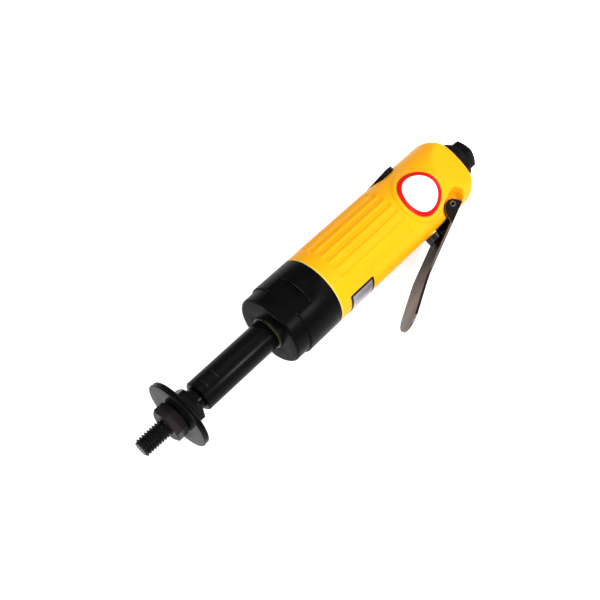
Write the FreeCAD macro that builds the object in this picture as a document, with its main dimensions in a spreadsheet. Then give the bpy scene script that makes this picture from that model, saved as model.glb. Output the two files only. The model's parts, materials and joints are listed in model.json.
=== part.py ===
import FreeCAD, Part
import math
import os
import Sketcher

# Pneumatic corner sander: a long air tool with a threaded arbor, a planetary gear case and a vane motor.
# All lengths are millimetres and all angles degrees. The tool axis is X, with the arbor at the front and
# the air inlet at the rear. "Up" is the badge's side of the tool, "lever" is the side of the throttle
# lever, and rest_roll is how far the tool rolls about X until it lies on its body and its lever.

DRIVING = {
    # How the tool lies, and the clearances that all pieces share
    "rest_roll": 15.25,
    "press_gap": 0.02,
    "running_gap": 0.05,
    "free_gap": 0.3,
    "end_gap": 0.1,
    "overrun": 3,
    # Arbor
    "thread_radius": 4.7625,
    "thread_pitch": 1.5875,
    "thread_depth": 0.86,
    "free_thread_length": 15.6,
    "nut_length": 7.2,
    "nut_across": 17,
    "nut_turn_angle": -16.6,
    "washer_radius": 19.2,
    "rear_washer_radius": 19,
    "washer_thickness": 1.5,
    "washer_spacing": 0.2,
    "washer_rim_radius": 0.55,
    "collar_length": 7.3,
    "collar_across": 17,
    "collar_turn_angle": 12.5,
    "neck_length": 3.4,
    "neck_radius": 6,
    "arbor_tail_length": 15,
    # Extension shaft
    "shaft_radius": 8.4,
    "shaft_chamfer": 0.8,
    "shaft_show_length": 50.1,
    "shaft_flat_start": 5.1,
    "shaft_flat_length": 7,
    "shaft_flat_across": 16,
    "grip_flat_angle": -20,
    "shaft_socket_depth": 17,
    # Gear case
    "seal_radius": 9.4,
    "seal_stand_out": 1.6,
    "case_nose_radius": 20,
    "body_radius": 21,
    "case_chamfer": 1,
    "case_wall": 4,
    "case_nose_length": 9.2,
    "case_flat_length": 19,
    "case_flat_across": 36,
    "case_length": 32.5,
    "spigot_radius": 18.2,
    "spigot_length": 6.7,
    # Spindle bearings
    "spindle_radius": 7.5,
    "spindle_bearing_radius": 16,
    "spindle_bearing_width": 9,
    "spindle_ball_radius": 2.38,
    "bearing_spacer_length": 2,
    "bearing_spacer_wall": 2,
    "spindle_thread_radius": 6,
    # Planet gears
    "gear_module": 0.7,
    "gear_width": 7,
    "gear_backlash": 0.14,
    "pin_radius": 1.75,
    "carrier_radius": 13.4,
    "carrier_plate": 3,
    "carrier_rear_plate": 2.5,
    "carrier_bore_radius": 6,
    "carrier_post_radius": 2.3,
    "carrier_post_circle": 10.6,
    "carrier_shoulder_radius": 9.4,
    "carrier_shoulder_length": 0.5,
    "ring_gear_radius": 17,
    "ring_gear_length": 9.5,
    "retaining_ring_width": 2.2,
    "retaining_ring_wall": 1.9,
    # Motor
    "motor_radius": 17,
    "motor_length": 36,
    "motor_bore_radius": 13.4,
    "motor_offset": 1.3,
    "rotor_radius": 12,
    "rotor_shaft_radius": 4,
    "rotor_tail_radius": 3.5,
    "vane_thickness": 1.5,
    "vane_height": 5.4,
    "clamp_spacer_length": 1.9,
    "clamp_spacer_wall": 2.6,
    "front_plate_length": 8.6,
    "rear_plate_length": 8,
    "plate_web": 1.2,
    "rotor_bearing_radius": 9.5,
    "rotor_bearing_width": 6,
    "rotor_ball_radius": 1.5,
    "port_radius": 1.2,
    "port_circle": 12.8,
    "dowel_radius": 1.25,
    "dowel_length": 42,
    "gasket_length": 1.5,
    "gasket_wall": 3.4,
    # Housing
    "housing_rim_chamfer": 0.5,
    "housing_end_radius": 9.4,
    "flute_first": 7.5,
    "flute_margin": 1,
    "flute_radius": 4,
    "flute_depth": 1,
    "facet_length": 21.5,
    "facet_height": 19.8,
    "facet_end_height": 12.4,
    "badge_forward": 1,
    "pad_radius": 15.5,
    "pad_height": 0.8,
    "badge_radius": 13,
    "badge_thickness": 1,
    "badge_proud_height": 0.4,
    "nameplate_start_distance": 7.4,
    "nameplate_length": 20,
    "nameplate_angle": 88,
    "nameplate_thickness": 0.5,
    "nameplate_recess_depth": 0.35,
    # Valve, across the tool
    "valve_wall": 11.4,
    "rear_length": 39.8,
    "plunger_radius": 3.3,
    "plunger_tip_distance": 25.4,
    "plunger_head_length": 13,
    "plunger_stem_radius": 1.6,
    "valve_bush_radius": 5,
    "valve_bush_start": 12,
    "valve_bush_end": 21.3,
    "upper_chamber_radius": 4.2,
    "valve_chamber_radius": 7,
    "seat_start": 1,
    "seat_thickness": 2.5,
    "seat_bore_radius": 3,
    "poppet_radius": 4.6,
    "poppet_thickness": 2.4,
    "air_passage_radius": 2.5,
    "air_passage_lever": 7.7,
    "spring_radius": 3.4,
    "spring_wire_radius": 0.45,
    "spring_turns": 5,
    "regulator_plug_length": 7,
    "regulator_radius": 9.4,
    "regulator_height": 3,
    "regulator_step": 0.9,
    "regulator_reach": 22.2,
    "regulator_slot_width": 2,
    "regulator_slot_depth": 1.2,
    # Lever
    "pivot_behind_valve": 18.4,
    "pivot_lever": 16.5,
    "lever_rest_angle": 18.8,
    "lever_travel": 10.8,
    "lever_bend_angle": 6.7,
    "lever_bend_radius": 70,
    "lever_thickness": 1.4,
    "lever_width": 18.7,
    "lever_inside": 3,
    "lever_bend_reach": 47.1,
    "lever_tip_reach": 31.3,
    "lever_rear_reach": 4.4,
    "ear_front": 8.8,
    "ear_corner_rise": 2.1,
    "ear_foot": 3.7,
    "ear_drop": 3.2,
    "ear_rear_radius": 4.2,
    "lever_pin_radius": 1.5,
    "lever_pin_length": 18.4,
    "boss_half_width": 7.65,
    "pocket_rear_radius": 5.7,
    "pocket_front_radius": 4.3,
    "pocket_front_reach": 6.3,
    "pocket_front_rise": 3,
    "pocket_flare": 4,
    # Rear end
    "inlet_bore_radius": 7,
    "bushing_thread_radius": 8.2,
    "bushing_thread_length": 14.5,
    "bushing_across": 17,
    "bushing_turn_angle": 8.5,
    "bushing_hex_length": 7.9,
    "pipe_thread_radius": 6.24,
    "pipe_thread_length": 12,
    "bushing_bore_radius": 5,
    "screen_radius": 6.5,
    "screen_length": 6,
    "screen_wall": 0.6,
    "exhaust_ring_radius": 12,
    "exhaust_ring_length": 5.7,
    "exhaust_ring_wall": 0.7,
    "exhaust_hole_radius": 1.25,
    "exhaust_hole_circle": 10.3,
    "exhaust_hole_angle": 18,
    "ring_vent_radius": 0.7,
    "ring_vent_circle": 10.9,
    "o_ring_radius": 0.45,
}

# Counts and angles, which have no length
SUN_TEETH = 12
PLANET_TEETH = 15
RING_TEETH = SUN_TEETH + 2 * PLANET_TEETH
PLANETS = 3
VANES = 4
FLUTES_PER_TURN = 25
FLUTES_MISSING = 6
SPINDLE_BALLS = 9
ROTOR_BALLS = 9
RING_VENTS = 12
CYLINDER_PORTS = 5
SIXTH_TURN = 60
QUARTER_TURN = 90
HALF_TURN = 180
FULL_TURN = 360
PRESSURE_ANGLE = 20
POCKET_REAR_ANGLE = -45
POCKET_FRONT_ANGLE = 200

# Shares of a size that the same piece or a standard gives
CREST_SHARE = 0.125
ROOT_SHARE = 0.25
ADDENDUM_SHARE = 0.8
DEDENDUM_SHARE = 1.1
BEARING_SHOULDER_SHARE = 0.62
HEX_FACE_SHARE = 0.95
PLUNGER_ROUND_SHARE = 0.8
FLANK_SHARES = (0, 0.35, 0.7, 1)
FLUTE_END_ANGLE_SHARE = -2.5
BALL_REACH_SHARE = 0.63
PIN_EDGE_SHARE = 0.2

doc = FreeCAD.newDocument("CornerSander")
sheet = doc.addObject("Spreadsheet::Sheet", "Sizes")
layout = doc.addObject("App::VarSet", "Layout")
VECTOR = FreeCAD.Vector
sub_parts = []


class Size:
    """A length or angle with the expression that gives it."""

    def __init__(self, value, text):
        self.value = float(value)
        self.text = text

    def __float__(self):
        return self.value

    def __add__(self, other):
        return joined(self, "+", other)

    def __radd__(self, other):
        return joined(other, "+", self)

    def __sub__(self, other):
        return joined(self, "-", other)

    def __rsub__(self, other):
        return joined(other, "-", self)

    def __mul__(self, other):
        return joined(self, "*", other)

    def __rmul__(self, other):
        return joined(other, "*", self)

    def __truediv__(self, other):
        return joined(self, "/", other)

    def __neg__(self):
        return joined(0, "-", self)


def as_size(thing):
    return thing if isinstance(thing, Size) else Size(thing, repr(thing))


def joined(first, mark, second):
    first, second = as_size(first), as_size(second)
    results = {"+": lambda a, b: a + b, "-": lambda a, b: a - b, "*": lambda a, b: a * b, "/": lambda a, b: a / b}
    return Size(results[mark](first.value, second.value), f"({first.text} {mark} {second.text})")


def cosine(angle):
    angle = as_size(angle)
    return Size(math.cos(math.radians(angle.value)), f"cos({angle.text})")


def sine(angle):
    angle = as_size(angle)
    return Size(math.sin(math.radians(angle.value)), f"sin({angle.text})")


def tangent(angle):
    angle = as_size(angle)
    return Size(math.tan(math.radians(angle.value)), f"tan({angle.text})")


def root(number):
    number = as_size(number)
    return Size(math.sqrt(number.value), f"sqrt({number.text})")


for row, (alias, number) in enumerate(DRIVING.items(), start=1):
    sheet.set(f"A{row}", alias)
    sheet.set(f"B{row}", str(number))
    sheet.setAlias(f"B{row}", alias)
doc.recompute()


def read(alias):
    return Size(sheet.get(alias), f"Sizes.{alias}")


def derived(name, size):
    """A place or size that follows from the sheet, kept by name in the layout."""
    layout.addProperty("App::PropertyFloat", name)
    setattr(layout, name, size.value)
    layout.setExpression(name, size.text)
    return Size(size.value, f"Layout.{name}")


def bind(piece, name, size):
    piece.setExpression(name, as_size(size).text)


ZERO = Size(0, "0")

rest_roll = read("rest_roll")
press_gap = read("press_gap")
running_gap = read("running_gap")
free_gap = read("free_gap")
end_gap = read("end_gap")
overrun = read("overrun")


def place(piece, along=ZERO, lever=ZERO, up=ZERO, turn=ZERO, rolled=True):
    """Puts a piece at a place of the tool, turned about X, with the tool's roll for a finished piece."""
    roll = rest_roll if rolled else ZERO
    piece.Placement = FreeCAD.Placement(VECTOR(0, 0, 0), FreeCAD.Rotation(VECTOR(1, 0, 0), 1))
    bind(piece, "Placement.Base.x", along)
    bind(piece, "Placement.Base.y", -(lever * cosine(roll)) - up * sine(roll))
    bind(piece, "Placement.Base.z", up * cosine(roll) - lever * sine(roll))
    bind(piece, "Placement.Rotation.Angle", roll + turn)
    return piece


def finished(piece, name):
    piece.Label = name
    sub_parts.append(piece)
    return piece


def arc_between(start, end, radius, left):
    """A circle arc between two places, with its centre left or right of the way."""
    middle = (start + end) / 2
    chord = end - start
    half = chord.Length / 2
    rise = math.sqrt(max(radius * radius - half * half, 0))
    normal = VECTOR(-chord.y, chord.x, 0).normalize()
    centre = middle + normal * (rise if left else -rise)
    first = math.atan2(start.y - centre.y, start.x - centre.x)
    last = math.atan2(end.y - centre.y, end.x - centre.x)
    circle = Part.Circle(centre, VECTOR(0, 0, 1), radius)
    if left:
        return Part.ArcOfCircle(circle, first, last), 1, 2
    return Part.ArcOfCircle(circle, last, first), 2, 1


def outlined(body, name, plane, outline):
    """A sketch of a closed outline. A corner is (x, y), or (x, y, radius) where an arc leads to it. The arc's
    centre is left of the way for a radius above zero, and right of it for one below."""
    sketch = body.newObject("Sketcher::SketchObject", name)
    base = [part for part in body.Origin.OriginFeatures if part.Role == plane][0]
    sketch.AttachmentSupport = [(base, "")]
    sketch.MapMode = "FlatFace"
    corners = [[as_size(number) for number in corner] for corner in outline]
    places = [VECTOR(corner[0].value, corner[1].value, 0) for corner in corners]
    ends = []
    for index, corner in enumerate(corners):
        start, end = places[index - 1], places[index]
        if len(corner) == 3:
            edge, first, last = arc_between(start, end, abs(corner[2].value), corner[2].value > 0)
            sketch.addGeometry(edge, False)
            ends.append((first, last))
        else:
            sketch.addGeometry(Part.LineSegment(start, end), False)
            ends.append((1, 2))
    joins = []
    for index in range(len(corners)):
        follower = (index + 1) % len(corners)
        joins.append(Sketcher.Constraint("Coincident", index, ends[index][1], follower, ends[follower][0]))
    sketch.addConstraint(joins)
    for index, corner in enumerate(corners):
        point = ends[index][1]
        for kind, axis, size, mark in (("DistanceX", -2, corner[0], "x"), ("DistanceY", -1, corner[1], "y")):
            if size.text == "0":
                sketch.addConstraint(Sketcher.Constraint("PointOnObject", index, point, axis))
                continue
            number = sketch.addConstraint(Sketcher.Constraint(kind, -1, 1, index, point, size.value))
            sketch.renameConstraint(number, f"{mark}{index}")
            bind(sketch, f"Constraints.{mark}{index}", size)
        if len(corner) == 3:
            radius = corner[2] if corner[2].value > 0 else -corner[2]
            number = sketch.addConstraint(Sketcher.Constraint("Radius", index, radius.value))
            sketch.renameConstraint(number, f"radius{index}")
            bind(sketch, f"Constraints.radius{index}", radius)
    return sketch


def turned(name, outline, direction="along"):
    """A body turned about its own X, lever or up axis from corners (distance along the axis, radius)."""
    body = doc.addObject("PartDesign::Body", name)
    corners = []
    for corner in outline:
        way, radius = as_size(corner[0]), as_size(corner[1])
        arc = [as_size(corner[2])] if len(corner) == 3 else []
        if direction == "along":
            corners.append((way, radius, *arc))
        elif direction == "lever":
            corners.append((radius, ZERO if way.text == "0" else -way, *arc))
        else:
            corners.append((radius, way, *[-size for size in arc]))
    plane = "XZ_Plane" if direction == "up" else "XY_Plane"
    sketch = outlined(body, f"{name}_outline", plane, corners)
    feature = body.newObject("PartDesign::Revolution", f"{name}_turning")
    feature.Profile = sketch
    feature.ReferenceAxis = (sketch, ["H_Axis" if direction == "along" else "V_Axis"])
    feature.Angle = FULL_TURN
    return body


def ring(name, length, outer, inner):
    return turned(name, [(ZERO, inner), (ZERO, outer), (length, outer), (length, inner)])


def slab(name, outline, width):
    """A body of a side outline (along, lever), as wide as given, across the tool's up direction."""
    body = doc.addObject("PartDesign::Body", name)
    corners = []
    for corner in outline:
        arc = [-as_size(corner[2])] if len(corner) == 3 else []
        lever = as_size(corner[1])
        corners.append((corner[0], ZERO if lever.text == "0" else -lever, *arc))
    sketch = outlined(body, f"{name}_outline", "XY_Plane", corners)
    pad = body.newObject("PartDesign::Pad", f"{name}_width")
    pad.Profile = sketch
    pad.Midplane = True
    bind(pad, "Length", width)
    return body


def rod(name, radius, length, along=ZERO, lever=ZERO, up=ZERO, direction="along"):
    """A plain cylinder from a place of the tool, along X, towards the lever or up."""
    cylinder = doc.addObject("Part::Cylinder", name)
    turns = {"along": FreeCAD.Rotation(VECTOR(0, 1, 0), 90), "lever": FreeCAD.Rotation(VECTOR(1, 0, 0), 90),
             "up": FreeCAD.Rotation()}
    cylinder.Placement = FreeCAD.Placement(VECTOR(0, 0, 0), turns[direction])
    bind(cylinder, "Radius", radius)
    bind(cylinder, "Height", length)
    bind(cylinder, "Placement.Base.x", along)
    bind(cylinder, "Placement.Base.y", -as_size(lever))
    bind(cylinder, "Placement.Base.z", up)
    return cylinder


def block(name, length, width, height, along, up, turn=ZERO):
    """A box that starts at a place along X and at a height, centred across, and is turned about X."""
    box = doc.addObject("Part::Box", name)
    bind(box, "Length", length)
    bind(box, "Width", width)
    bind(box, "Height", height)
    half = as_size(width) / 2
    place(box, along, half * cosine(turn) + up * sine(turn), up * cosine(turn) - half * sine(turn), turn, False)
    return box


def cut(name, base, tools):
    tool = tools[0]
    if len(tools) > 1:
        tool = fuse(f"{name}_cutters", tools)
    result = doc.addObject("Part::Cut", name)
    result.Base = base
    result.Tool = tool
    return result


def fuse(name, pieces):
    result = doc.addObject("Part::MultiFuse", name)
    result.Shapes = pieces
    return result


def common(name, first, second):
    result = doc.addObject("Part::Common", name)
    result.Base = first
    result.Tool = second
    return result


def made(name, shape):
    result = doc.addObject("Part::Feature", name)
    result.Shape = shape
    return result


def hexagon(name, across, length, along, turn):
    """A hexagon bar with its corners chamfered at both ends."""
    corner = across / root(3)
    face = across * HEX_FACE_SHARE / 2
    slope = (corner - face) * tangent(SIXTH_TURN / 2)
    prism = doc.addObject("Part::Prism", f"{name}_bar")
    prism.Polygon = 6
    prism.Placement = FreeCAD.Placement(VECTOR(0, 0, 0), FreeCAD.Rotation(VECTOR(0, 1, 0), 90))
    bind(prism, "Circumradius", corner)
    bind(prism, "Height", length)
    blank = turned(f"{name}_blank", [(ZERO, ZERO), (ZERO, face), (slope, corner), (length - slope, corner),
                                     (length, face), (length, ZERO)])
    bar = common(f"{name}_hexagon", prism, blank)
    return place(bar, along, turn=turn, rolled=False)


def bearing(name, along, inner, outer, width, ball, balls):
    """Inner ring, balls and outer ring of a ball bearing, as three sub-parts."""
    middle = (inner + outer) / 2
    shoulder = ball * BEARING_SHOULDER_SHARE
    groove = ball + running_gap
    mouth = root(groove * groove - shoulder * shoulder)
    seats = (("inner_ring", inner + press_gap, middle - shoulder, groove),
             ("outer_ring", outer - press_gap, middle + shoulder, -groove))
    for ending, seat, edge, arc in seats:
        outline = [(ZERO, seat), (ZERO, edge), (width / 2 - mouth, edge), (width / 2 + mouth, edge, arc),
                   (width, edge), (width, seat)]
        finished(place(turned(f"{name}_{ending}", outline), along), f"{name}_{ending}")
    spheres = []
    for index in range(balls):
        angle = math.radians(FULL_TURN * index / balls)
        centre = VECTOR((width / 2).value, middle.value * math.cos(angle), middle.value * math.sin(angle))
        spheres.append(Part.makeSphere(ball.value, centre))
    finished(place(made(f"{name}_balls", Part.makeCompound(spheres)), along), f"{name}_balls")


# Stations along the tool

thread_radius = read("thread_radius")
thread_core = derived("thread_core", thread_radius - read("thread_depth") / 2)
stud_tip = derived("stud_tip", -(read("free_thread_length") / 2))
nut_front = derived("nut_front", read("free_thread_length") / 2)
washer_front = derived("washer_front", nut_front + read("nut_length"))
rear_washer_front = derived("rear_washer_front",
                            washer_front + read("washer_thickness") + read("washer_spacing"))
collar_front = derived("collar_front", rear_washer_front + read("washer_thickness"))
neck_front = derived("neck_front", collar_front + read("collar_length"))
shaft_front = derived("shaft_front", neck_front + read("neck_length"))
case_front = derived("case_front", shaft_front + read("shaft_show_length"))
bearing_front = derived("bearing_front", case_front + read("case_wall") + free_gap)
second_bearing = derived("second_bearing",
                         bearing_front + read("spindle_bearing_width") + read("bearing_spacer_length"))
bearing_back = derived("bearing_back", second_bearing + read("spindle_bearing_width"))
carrier_front = derived("carrier_front", bearing_back + read("carrier_shoulder_length"))
planet_front = derived("planet_front", carrier_front + read("carrier_plate") + free_gap)
carrier_back = derived("carrier_back", planet_front + read("gear_width") + free_gap)
ring_gear_front = derived("ring_gear_front", bearing_back + read("retaining_ring_width") + end_gap)
ring_gear_back = derived("ring_gear_back", ring_gear_front + read("ring_gear_length"))
front_plate_front = derived("front_plate_front", ring_gear_back + read("clamp_spacer_length"))
cylinder_front = derived("cylinder_front", front_plate_front + read("front_plate_length"))
cylinder_back = derived("cylinder_back", cylinder_front + read("motor_length"))
rear_plate_back = derived("rear_plate_back", cylinder_back + read("rear_plate_length"))
gasket_back = derived("gasket_back", rear_plate_back + read("gasket_length"))
housing_front = derived("housing_front", case_front + read("case_length"))
valve_along = derived("valve_along", gasket_back + read("valve_wall") + read("valve_chamber_radius"))
badge_along = derived("badge_along", valve_along - read("badge_forward"))
pivot_along = derived("pivot_along", valve_along + read("pivot_behind_valve"))
housing_back = derived("housing_back", valve_along + read("rear_length"))
ring_back = derived("ring_back", housing_back + read("exhaust_ring_length"))


# Arbor: threaded stud, hexagon collar, neck and the tail that screws into the extension shaft

def threaded_outline(start, turns):
    """Corners of a thread's crests along a stud, from its tip."""
    pitch, depth = read("thread_pitch"), read("thread_depth")
    crest = pitch * CREST_SHARE
    rise = (pitch - crest - pitch * ROOT_SHARE) / 2
    corners = []
    for turn in range(turns):
        foot = start + pitch * turn
        corners += [(foot, thread_radius - depth), (foot + rise, thread_radius),
                    (foot + rise + crest, thread_radius), (foot + rise + crest + rise, thread_radius - depth)]
    return corners


def make_arbor():
    depth = read("thread_depth")
    room = nut_front - stud_tip - depth
    turns = int(room.value / read("thread_pitch").value)
    tail = shaft_front + read("arbor_tail_length")
    outline = [(stud_tip, ZERO), (stud_tip, thread_radius - depth)]
    outline += threaded_outline(stud_tip + depth, turns)
    outline += [(nut_front, thread_radius - depth), (nut_front, thread_core), (collar_front + depth, thread_core),
                (collar_front + depth, read("neck_radius")), (shaft_front, read("neck_radius")),
                (shaft_front, thread_core), (tail - depth, thread_core), (tail, thread_core - depth), (tail, ZERO)]
    stem = turned("arbor_stem", outline)
    collar = hexagon("collar", read("collar_across"), read("collar_length"), collar_front,
                     read("collar_turn_angle"))
    finished(place(fuse("threaded_arbor", [stem, collar])), "threaded_arbor")


def make_clamp():
    nut = hexagon("nut", read("nut_across"), read("nut_length"), nut_front, read("nut_turn_angle"))
    hole = rod("nut_hole", thread_core + running_gap, read("nut_length") + overrun * 2, nut_front - overrun)
    finished(place(cut("clamp_nut", nut, [hole])), "clamp_nut")
    thickness, rim = read("washer_thickness"), read("washer_rim_radius")
    bore = thread_radius + running_gap
    washers = (("front_clamp_washer", washer_front, read("washer_radius")),
               ("rear_clamp_washer", rear_washer_front, read("rear_washer_radius")))
    for name, along, radius in washers:
        outline = [(ZERO, bore), (ZERO, radius - rim), (rim, radius, -rim), (thickness - rim, radius),
                   (thickness, radius - rim, -rim), (thickness, bore)]
        finished(place(turned(name, outline), along), name)


def flats(name, across, length, along, radius, turn):
    """Two blocks that cut a pair of wrench flats."""
    cutters = []
    for side, angle in (("near", turn), ("far", turn + HALF_TURN)):
        cutters.append(block(f"{name}_{side}", length, radius * 2 + overrun * 2, radius, along, across / 2, angle))
    return cutters


def make_shaft():
    radius, chamfer = read("shaft_radius"), read("shaft_chamfer")
    tail_room = shaft_front + read("arbor_tail_length") + end_gap
    socket = bearing_front - read("shaft_socket_depth")
    spindle = read("spindle_thread_radius") + running_gap
    outline = [(shaft_front, thread_core + running_gap), (shaft_front, radius - chamfer),
               (shaft_front + chamfer, radius), (bearing_front, radius), (bearing_front, spindle),
               (socket, spindle), (socket, ZERO), (tail_room, ZERO), (tail_room, thread_core + running_gap)]
    bar = turned("shaft_bar", outline)
    cutters = flats("shaft_flat", read("shaft_flat_across"), read("shaft_flat_length"),
                    shaft_front + read("shaft_flat_start"), radius, read("grip_flat_angle"))
    finished(place(cut("extension_shaft", bar, cutters)), "extension_shaft")


def make_case():
    nose, body, chamfer = read("case_nose_radius"), read("body_radius"), read("case_chamfer")
    seal, wall = read("seal_radius") + press_gap, case_front + read("case_wall")
    step = case_front + read("case_nose_length")
    spigot = housing_front + read("spigot_length")
    bearing_bore, gear_bore = read("spindle_bearing_radius"), read("ring_gear_radius") + press_gap
    outline = [(case_front, seal), (case_front, nose - chamfer), (case_front + chamfer, nose), (step, nose),
               (step, body), (housing_front, body), (housing_front, read("spigot_radius")),
               (spigot, read("spigot_radius")), (spigot, gear_bore), (ring_gear_front, gear_bore),
               (ring_gear_front, bearing_bore), (wall, bearing_bore), (wall, seal)]
    blank = turned("case_blank", outline)
    cutters = flats("case_flat", read("case_flat_across"), read("case_flat_length") + overrun,
                    case_front - overrun, body, read("grip_flat_angle"))
    finished(place(cut("gear_case", blank, cutters)), "gear_case")
    length = read("seal_stand_out") + read("case_wall") - press_gap
    seal_ring = ring("nose_seal_ring", length, read("seal_radius"), read("shaft_radius") + end_gap)
    finished(place(seal_ring, case_front - read("seal_stand_out")), "nose_seal_ring")


def make_spindle_bearings():
    inner, outer = read("spindle_radius"), read("spindle_bearing_radius")
    for name, along in (("front_spindle_bearing", bearing_front), ("rear_spindle_bearing", second_bearing)):
        bearing(name, along, inner, outer, read("spindle_bearing_width"), read("spindle_ball_radius"), SPINDLE_BALLS)
    wall, length = read("bearing_spacer_wall"), read("bearing_spacer_length")
    spacers = (("outer_bearing_spacer", outer - press_gap, outer - wall),
               ("inner_bearing_spacer", inner + wall, inner + press_gap))
    for name, far, near in spacers:
        place(finished(ring(name, length, far, near), name), bearing_front + read("spindle_bearing_width"))
    keeper = ring("bearing_retaining_ring", read("retaining_ring_width"), outer - press_gap,
                  outer - read("retaining_ring_wall"))
    finished(place(keeper, bearing_back), "bearing_retaining_ring")


# Planet gears

def involute(angle):
    return math.tan(angle) - angle


def tooth_outline(teeth, module, growth, outer, inner):
    """Corners of a spur gear with involute flanks. Growth widens each tooth at its pitch circle."""
    pressure = math.radians(PRESSURE_ANGLE)
    pitch = module * teeth / 2
    base = pitch * math.cos(pressure)
    half = math.pi / (2 * teeth) + growth / (2 * pitch) + involute(pressure)
    lowest = max(base, inner)
    flank = [lowest + (outer - lowest) * share for share in FLANK_SHARES]
    radii = ([inner] if inner < base else []) + flank
    side = [(radius, half - involute(math.acos(min(base / radius, 1)))) for radius in radii]
    corners = []
    for tooth in range(teeth):
        middle = math.tau * tooth / teeth
        for radius, angle in side:
            corners.append((radius, middle - angle))
        for radius, angle in reversed(side):
            corners.append((radius, middle + angle))
    return corners


def toothed(teeth, growth, outer, inner, length, turn=0):
    """A spur gear's solid along X. Angle 0 points up, and angles grow towards the lever."""
    module = read("gear_module").value
    corners = tooth_outline(teeth, module, growth, outer, inner)
    places = []
    for radius, angle in corners:
        places.append(VECTOR(0, -radius * math.sin(angle + turn), radius * math.cos(angle + turn)))
    wire = Part.makePolygon(places + places[:1])
    return Part.Face(wire).extrude(VECTOR(length, 0, 0))


def make_gears():
    module, backlash = read("gear_module").value, read("gear_backlash").value
    width, bore = read("gear_width").value, (read("pin_radius") + running_gap).value
    addendum, dedendum = module * ADDENDUM_SHARE, module * DEDENDUM_SHARE
    pitch = module * PLANET_TEETH / 2
    facing = math.pi / PLANET_TEETH
    for index in range(PLANETS):
        angle = as_size(FULL_TURN * index / PLANETS)
        gear = toothed(PLANET_TEETH, -backlash, pitch + addendum, pitch - dedendum, width, math.pi + facing)
        hole = Part.makeCylinder(bore, width, VECTOR(0, 0, 0), VECTOR(1, 0, 0))
        name = f"planet_gear_{index + 1}"
        piece = made(name, gear.cut(hole))
        place(piece, planet_front, planet_circle * sine(angle), planet_circle * cosine(angle), angle)
        finished(piece, name)
    length = read("ring_gear_length").value
    pitch = module * RING_TEETH / 2
    blank = Part.makeCylinder(read("ring_gear_radius").value, length, VECTOR(0, 0, 0), VECTOR(1, 0, 0))
    space = toothed(RING_TEETH, backlash, pitch + dedendum, pitch - addendum, length)
    finished(place(made("ring_gear", blank.cut(space)), ring_gear_front), "ring_gear")


def make_carrier():
    disc, plate = read("carrier_radius"), read("carrier_plate")
    shoulder, pin = read("carrier_shoulder_radius"), read("pin_radius")
    thread, spindle = read("spindle_thread_radius"), read("spindle_radius")
    thread_start = bearing_front - read("shaft_socket_depth") + end_gap
    outline = [(thread_start, ZERO), (thread_start, thread), (bearing_front, thread), (bearing_front, spindle),
               (bearing_back, spindle), (bearing_back, shoulder), (carrier_front, shoulder),
               (carrier_front, disc), (carrier_front + plate, disc), (carrier_front + plate, ZERO)]
    spindle_blank = turned("carrier_spindle", outline)
    rear = place(ring("carrier_rear_disc", read("carrier_rear_plate"), disc, read("carrier_bore_radius")),
                 carrier_back, rolled=False)
    pieces, holes = [spindle_blank, rear], []
    length = carrier_back + read("carrier_rear_plate") - carrier_front
    for index in range(PLANETS):
        angle = as_size(FULL_TURN * index / PLANETS)
        between = angle + SIXTH_TURN
        circle = read("carrier_post_circle")
        pieces.append(rod(f"carrier_post_{index + 1}", read("carrier_post_radius"), length, carrier_front,
                          circle * sine(between), circle * cosine(between)))
        side, up = planet_circle * sine(angle), planet_circle * cosine(angle)
        holes.append(rod(f"carrier_hole_{index + 1}", pin + press_gap, length + overrun * 2,
                         carrier_front - overrun, side, up))
        name = f"planet_pin_{index + 1}"
        bar = turned(name, [(ZERO, ZERO), (ZERO, pin), (length, pin), (length, ZERO)])
        finished(place(bar, carrier_front, side, up), name)
    finished(place(cut("planet_carrier", fuse("carrier_solid", pieces), holes)), "planet_carrier")


planet_circle = derived("planet_circle", read("gear_module") * (SUN_TEETH + PLANET_TEETH) / 2)


# Motor

def make_rotor():
    module, backlash = read("gear_module").value, read("gear_backlash").value
    shaft, tail, body = read("rotor_shaft_radius"), read("rotor_tail_radius"), read("rotor_radius")
    body_front, body_back = cylinder_front + end_gap, cylinder_back - end_gap
    sun_back = carrier_back
    outline = [(sun_back, ZERO), (sun_back, shaft - press_gap), (body_front, shaft - press_gap),
               (body_front, body), (body_back, body), (body_back, tail - press_gap),
               (rear_plate_back, tail - press_gap), (rear_plate_back, ZERO)]
    pitch = module * SUN_TEETH / 2
    sun = toothed(SUN_TEETH, -backlash, pitch + module * ADDENDUM_SHARE, pitch - module * DEDENDUM_SHARE,
                  (sun_back - planet_front + press_gap).value)
    sun_piece = place(made("sun_gear", sun), planet_front, rolled=False)
    solid = fuse("rotor_solid", [turned("rotor_bar", outline), sun_piece])
    height, thickness = read("vane_height"), read("vane_thickness")
    floor = body - height
    slots = []
    for index in range(VANES):
        turn = as_size(FULL_TURN * index / VANES + SIXTH_TURN / 2)
        slots.append(block(f"vane_slot_{index + 1}", body_back - body_front + overrun, thickness + end_gap,
                           height + overrun, body_front - overrun / 2, floor - end_gap, turn))
        name = f"vane_{index + 1}"
        vane = block(name, body_back - body_front, thickness, height - end_gap, body_front, floor, turn)
        drop = floor * cosine(turn) - thickness / 2 * sine(turn)
        place(vane, body_front, thickness / 2 * cosine(turn) + floor * sine(turn), drop, turn)
        finished(vane, name)
    finished(place(cut("rotor", solid, slots)), "rotor")


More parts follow.
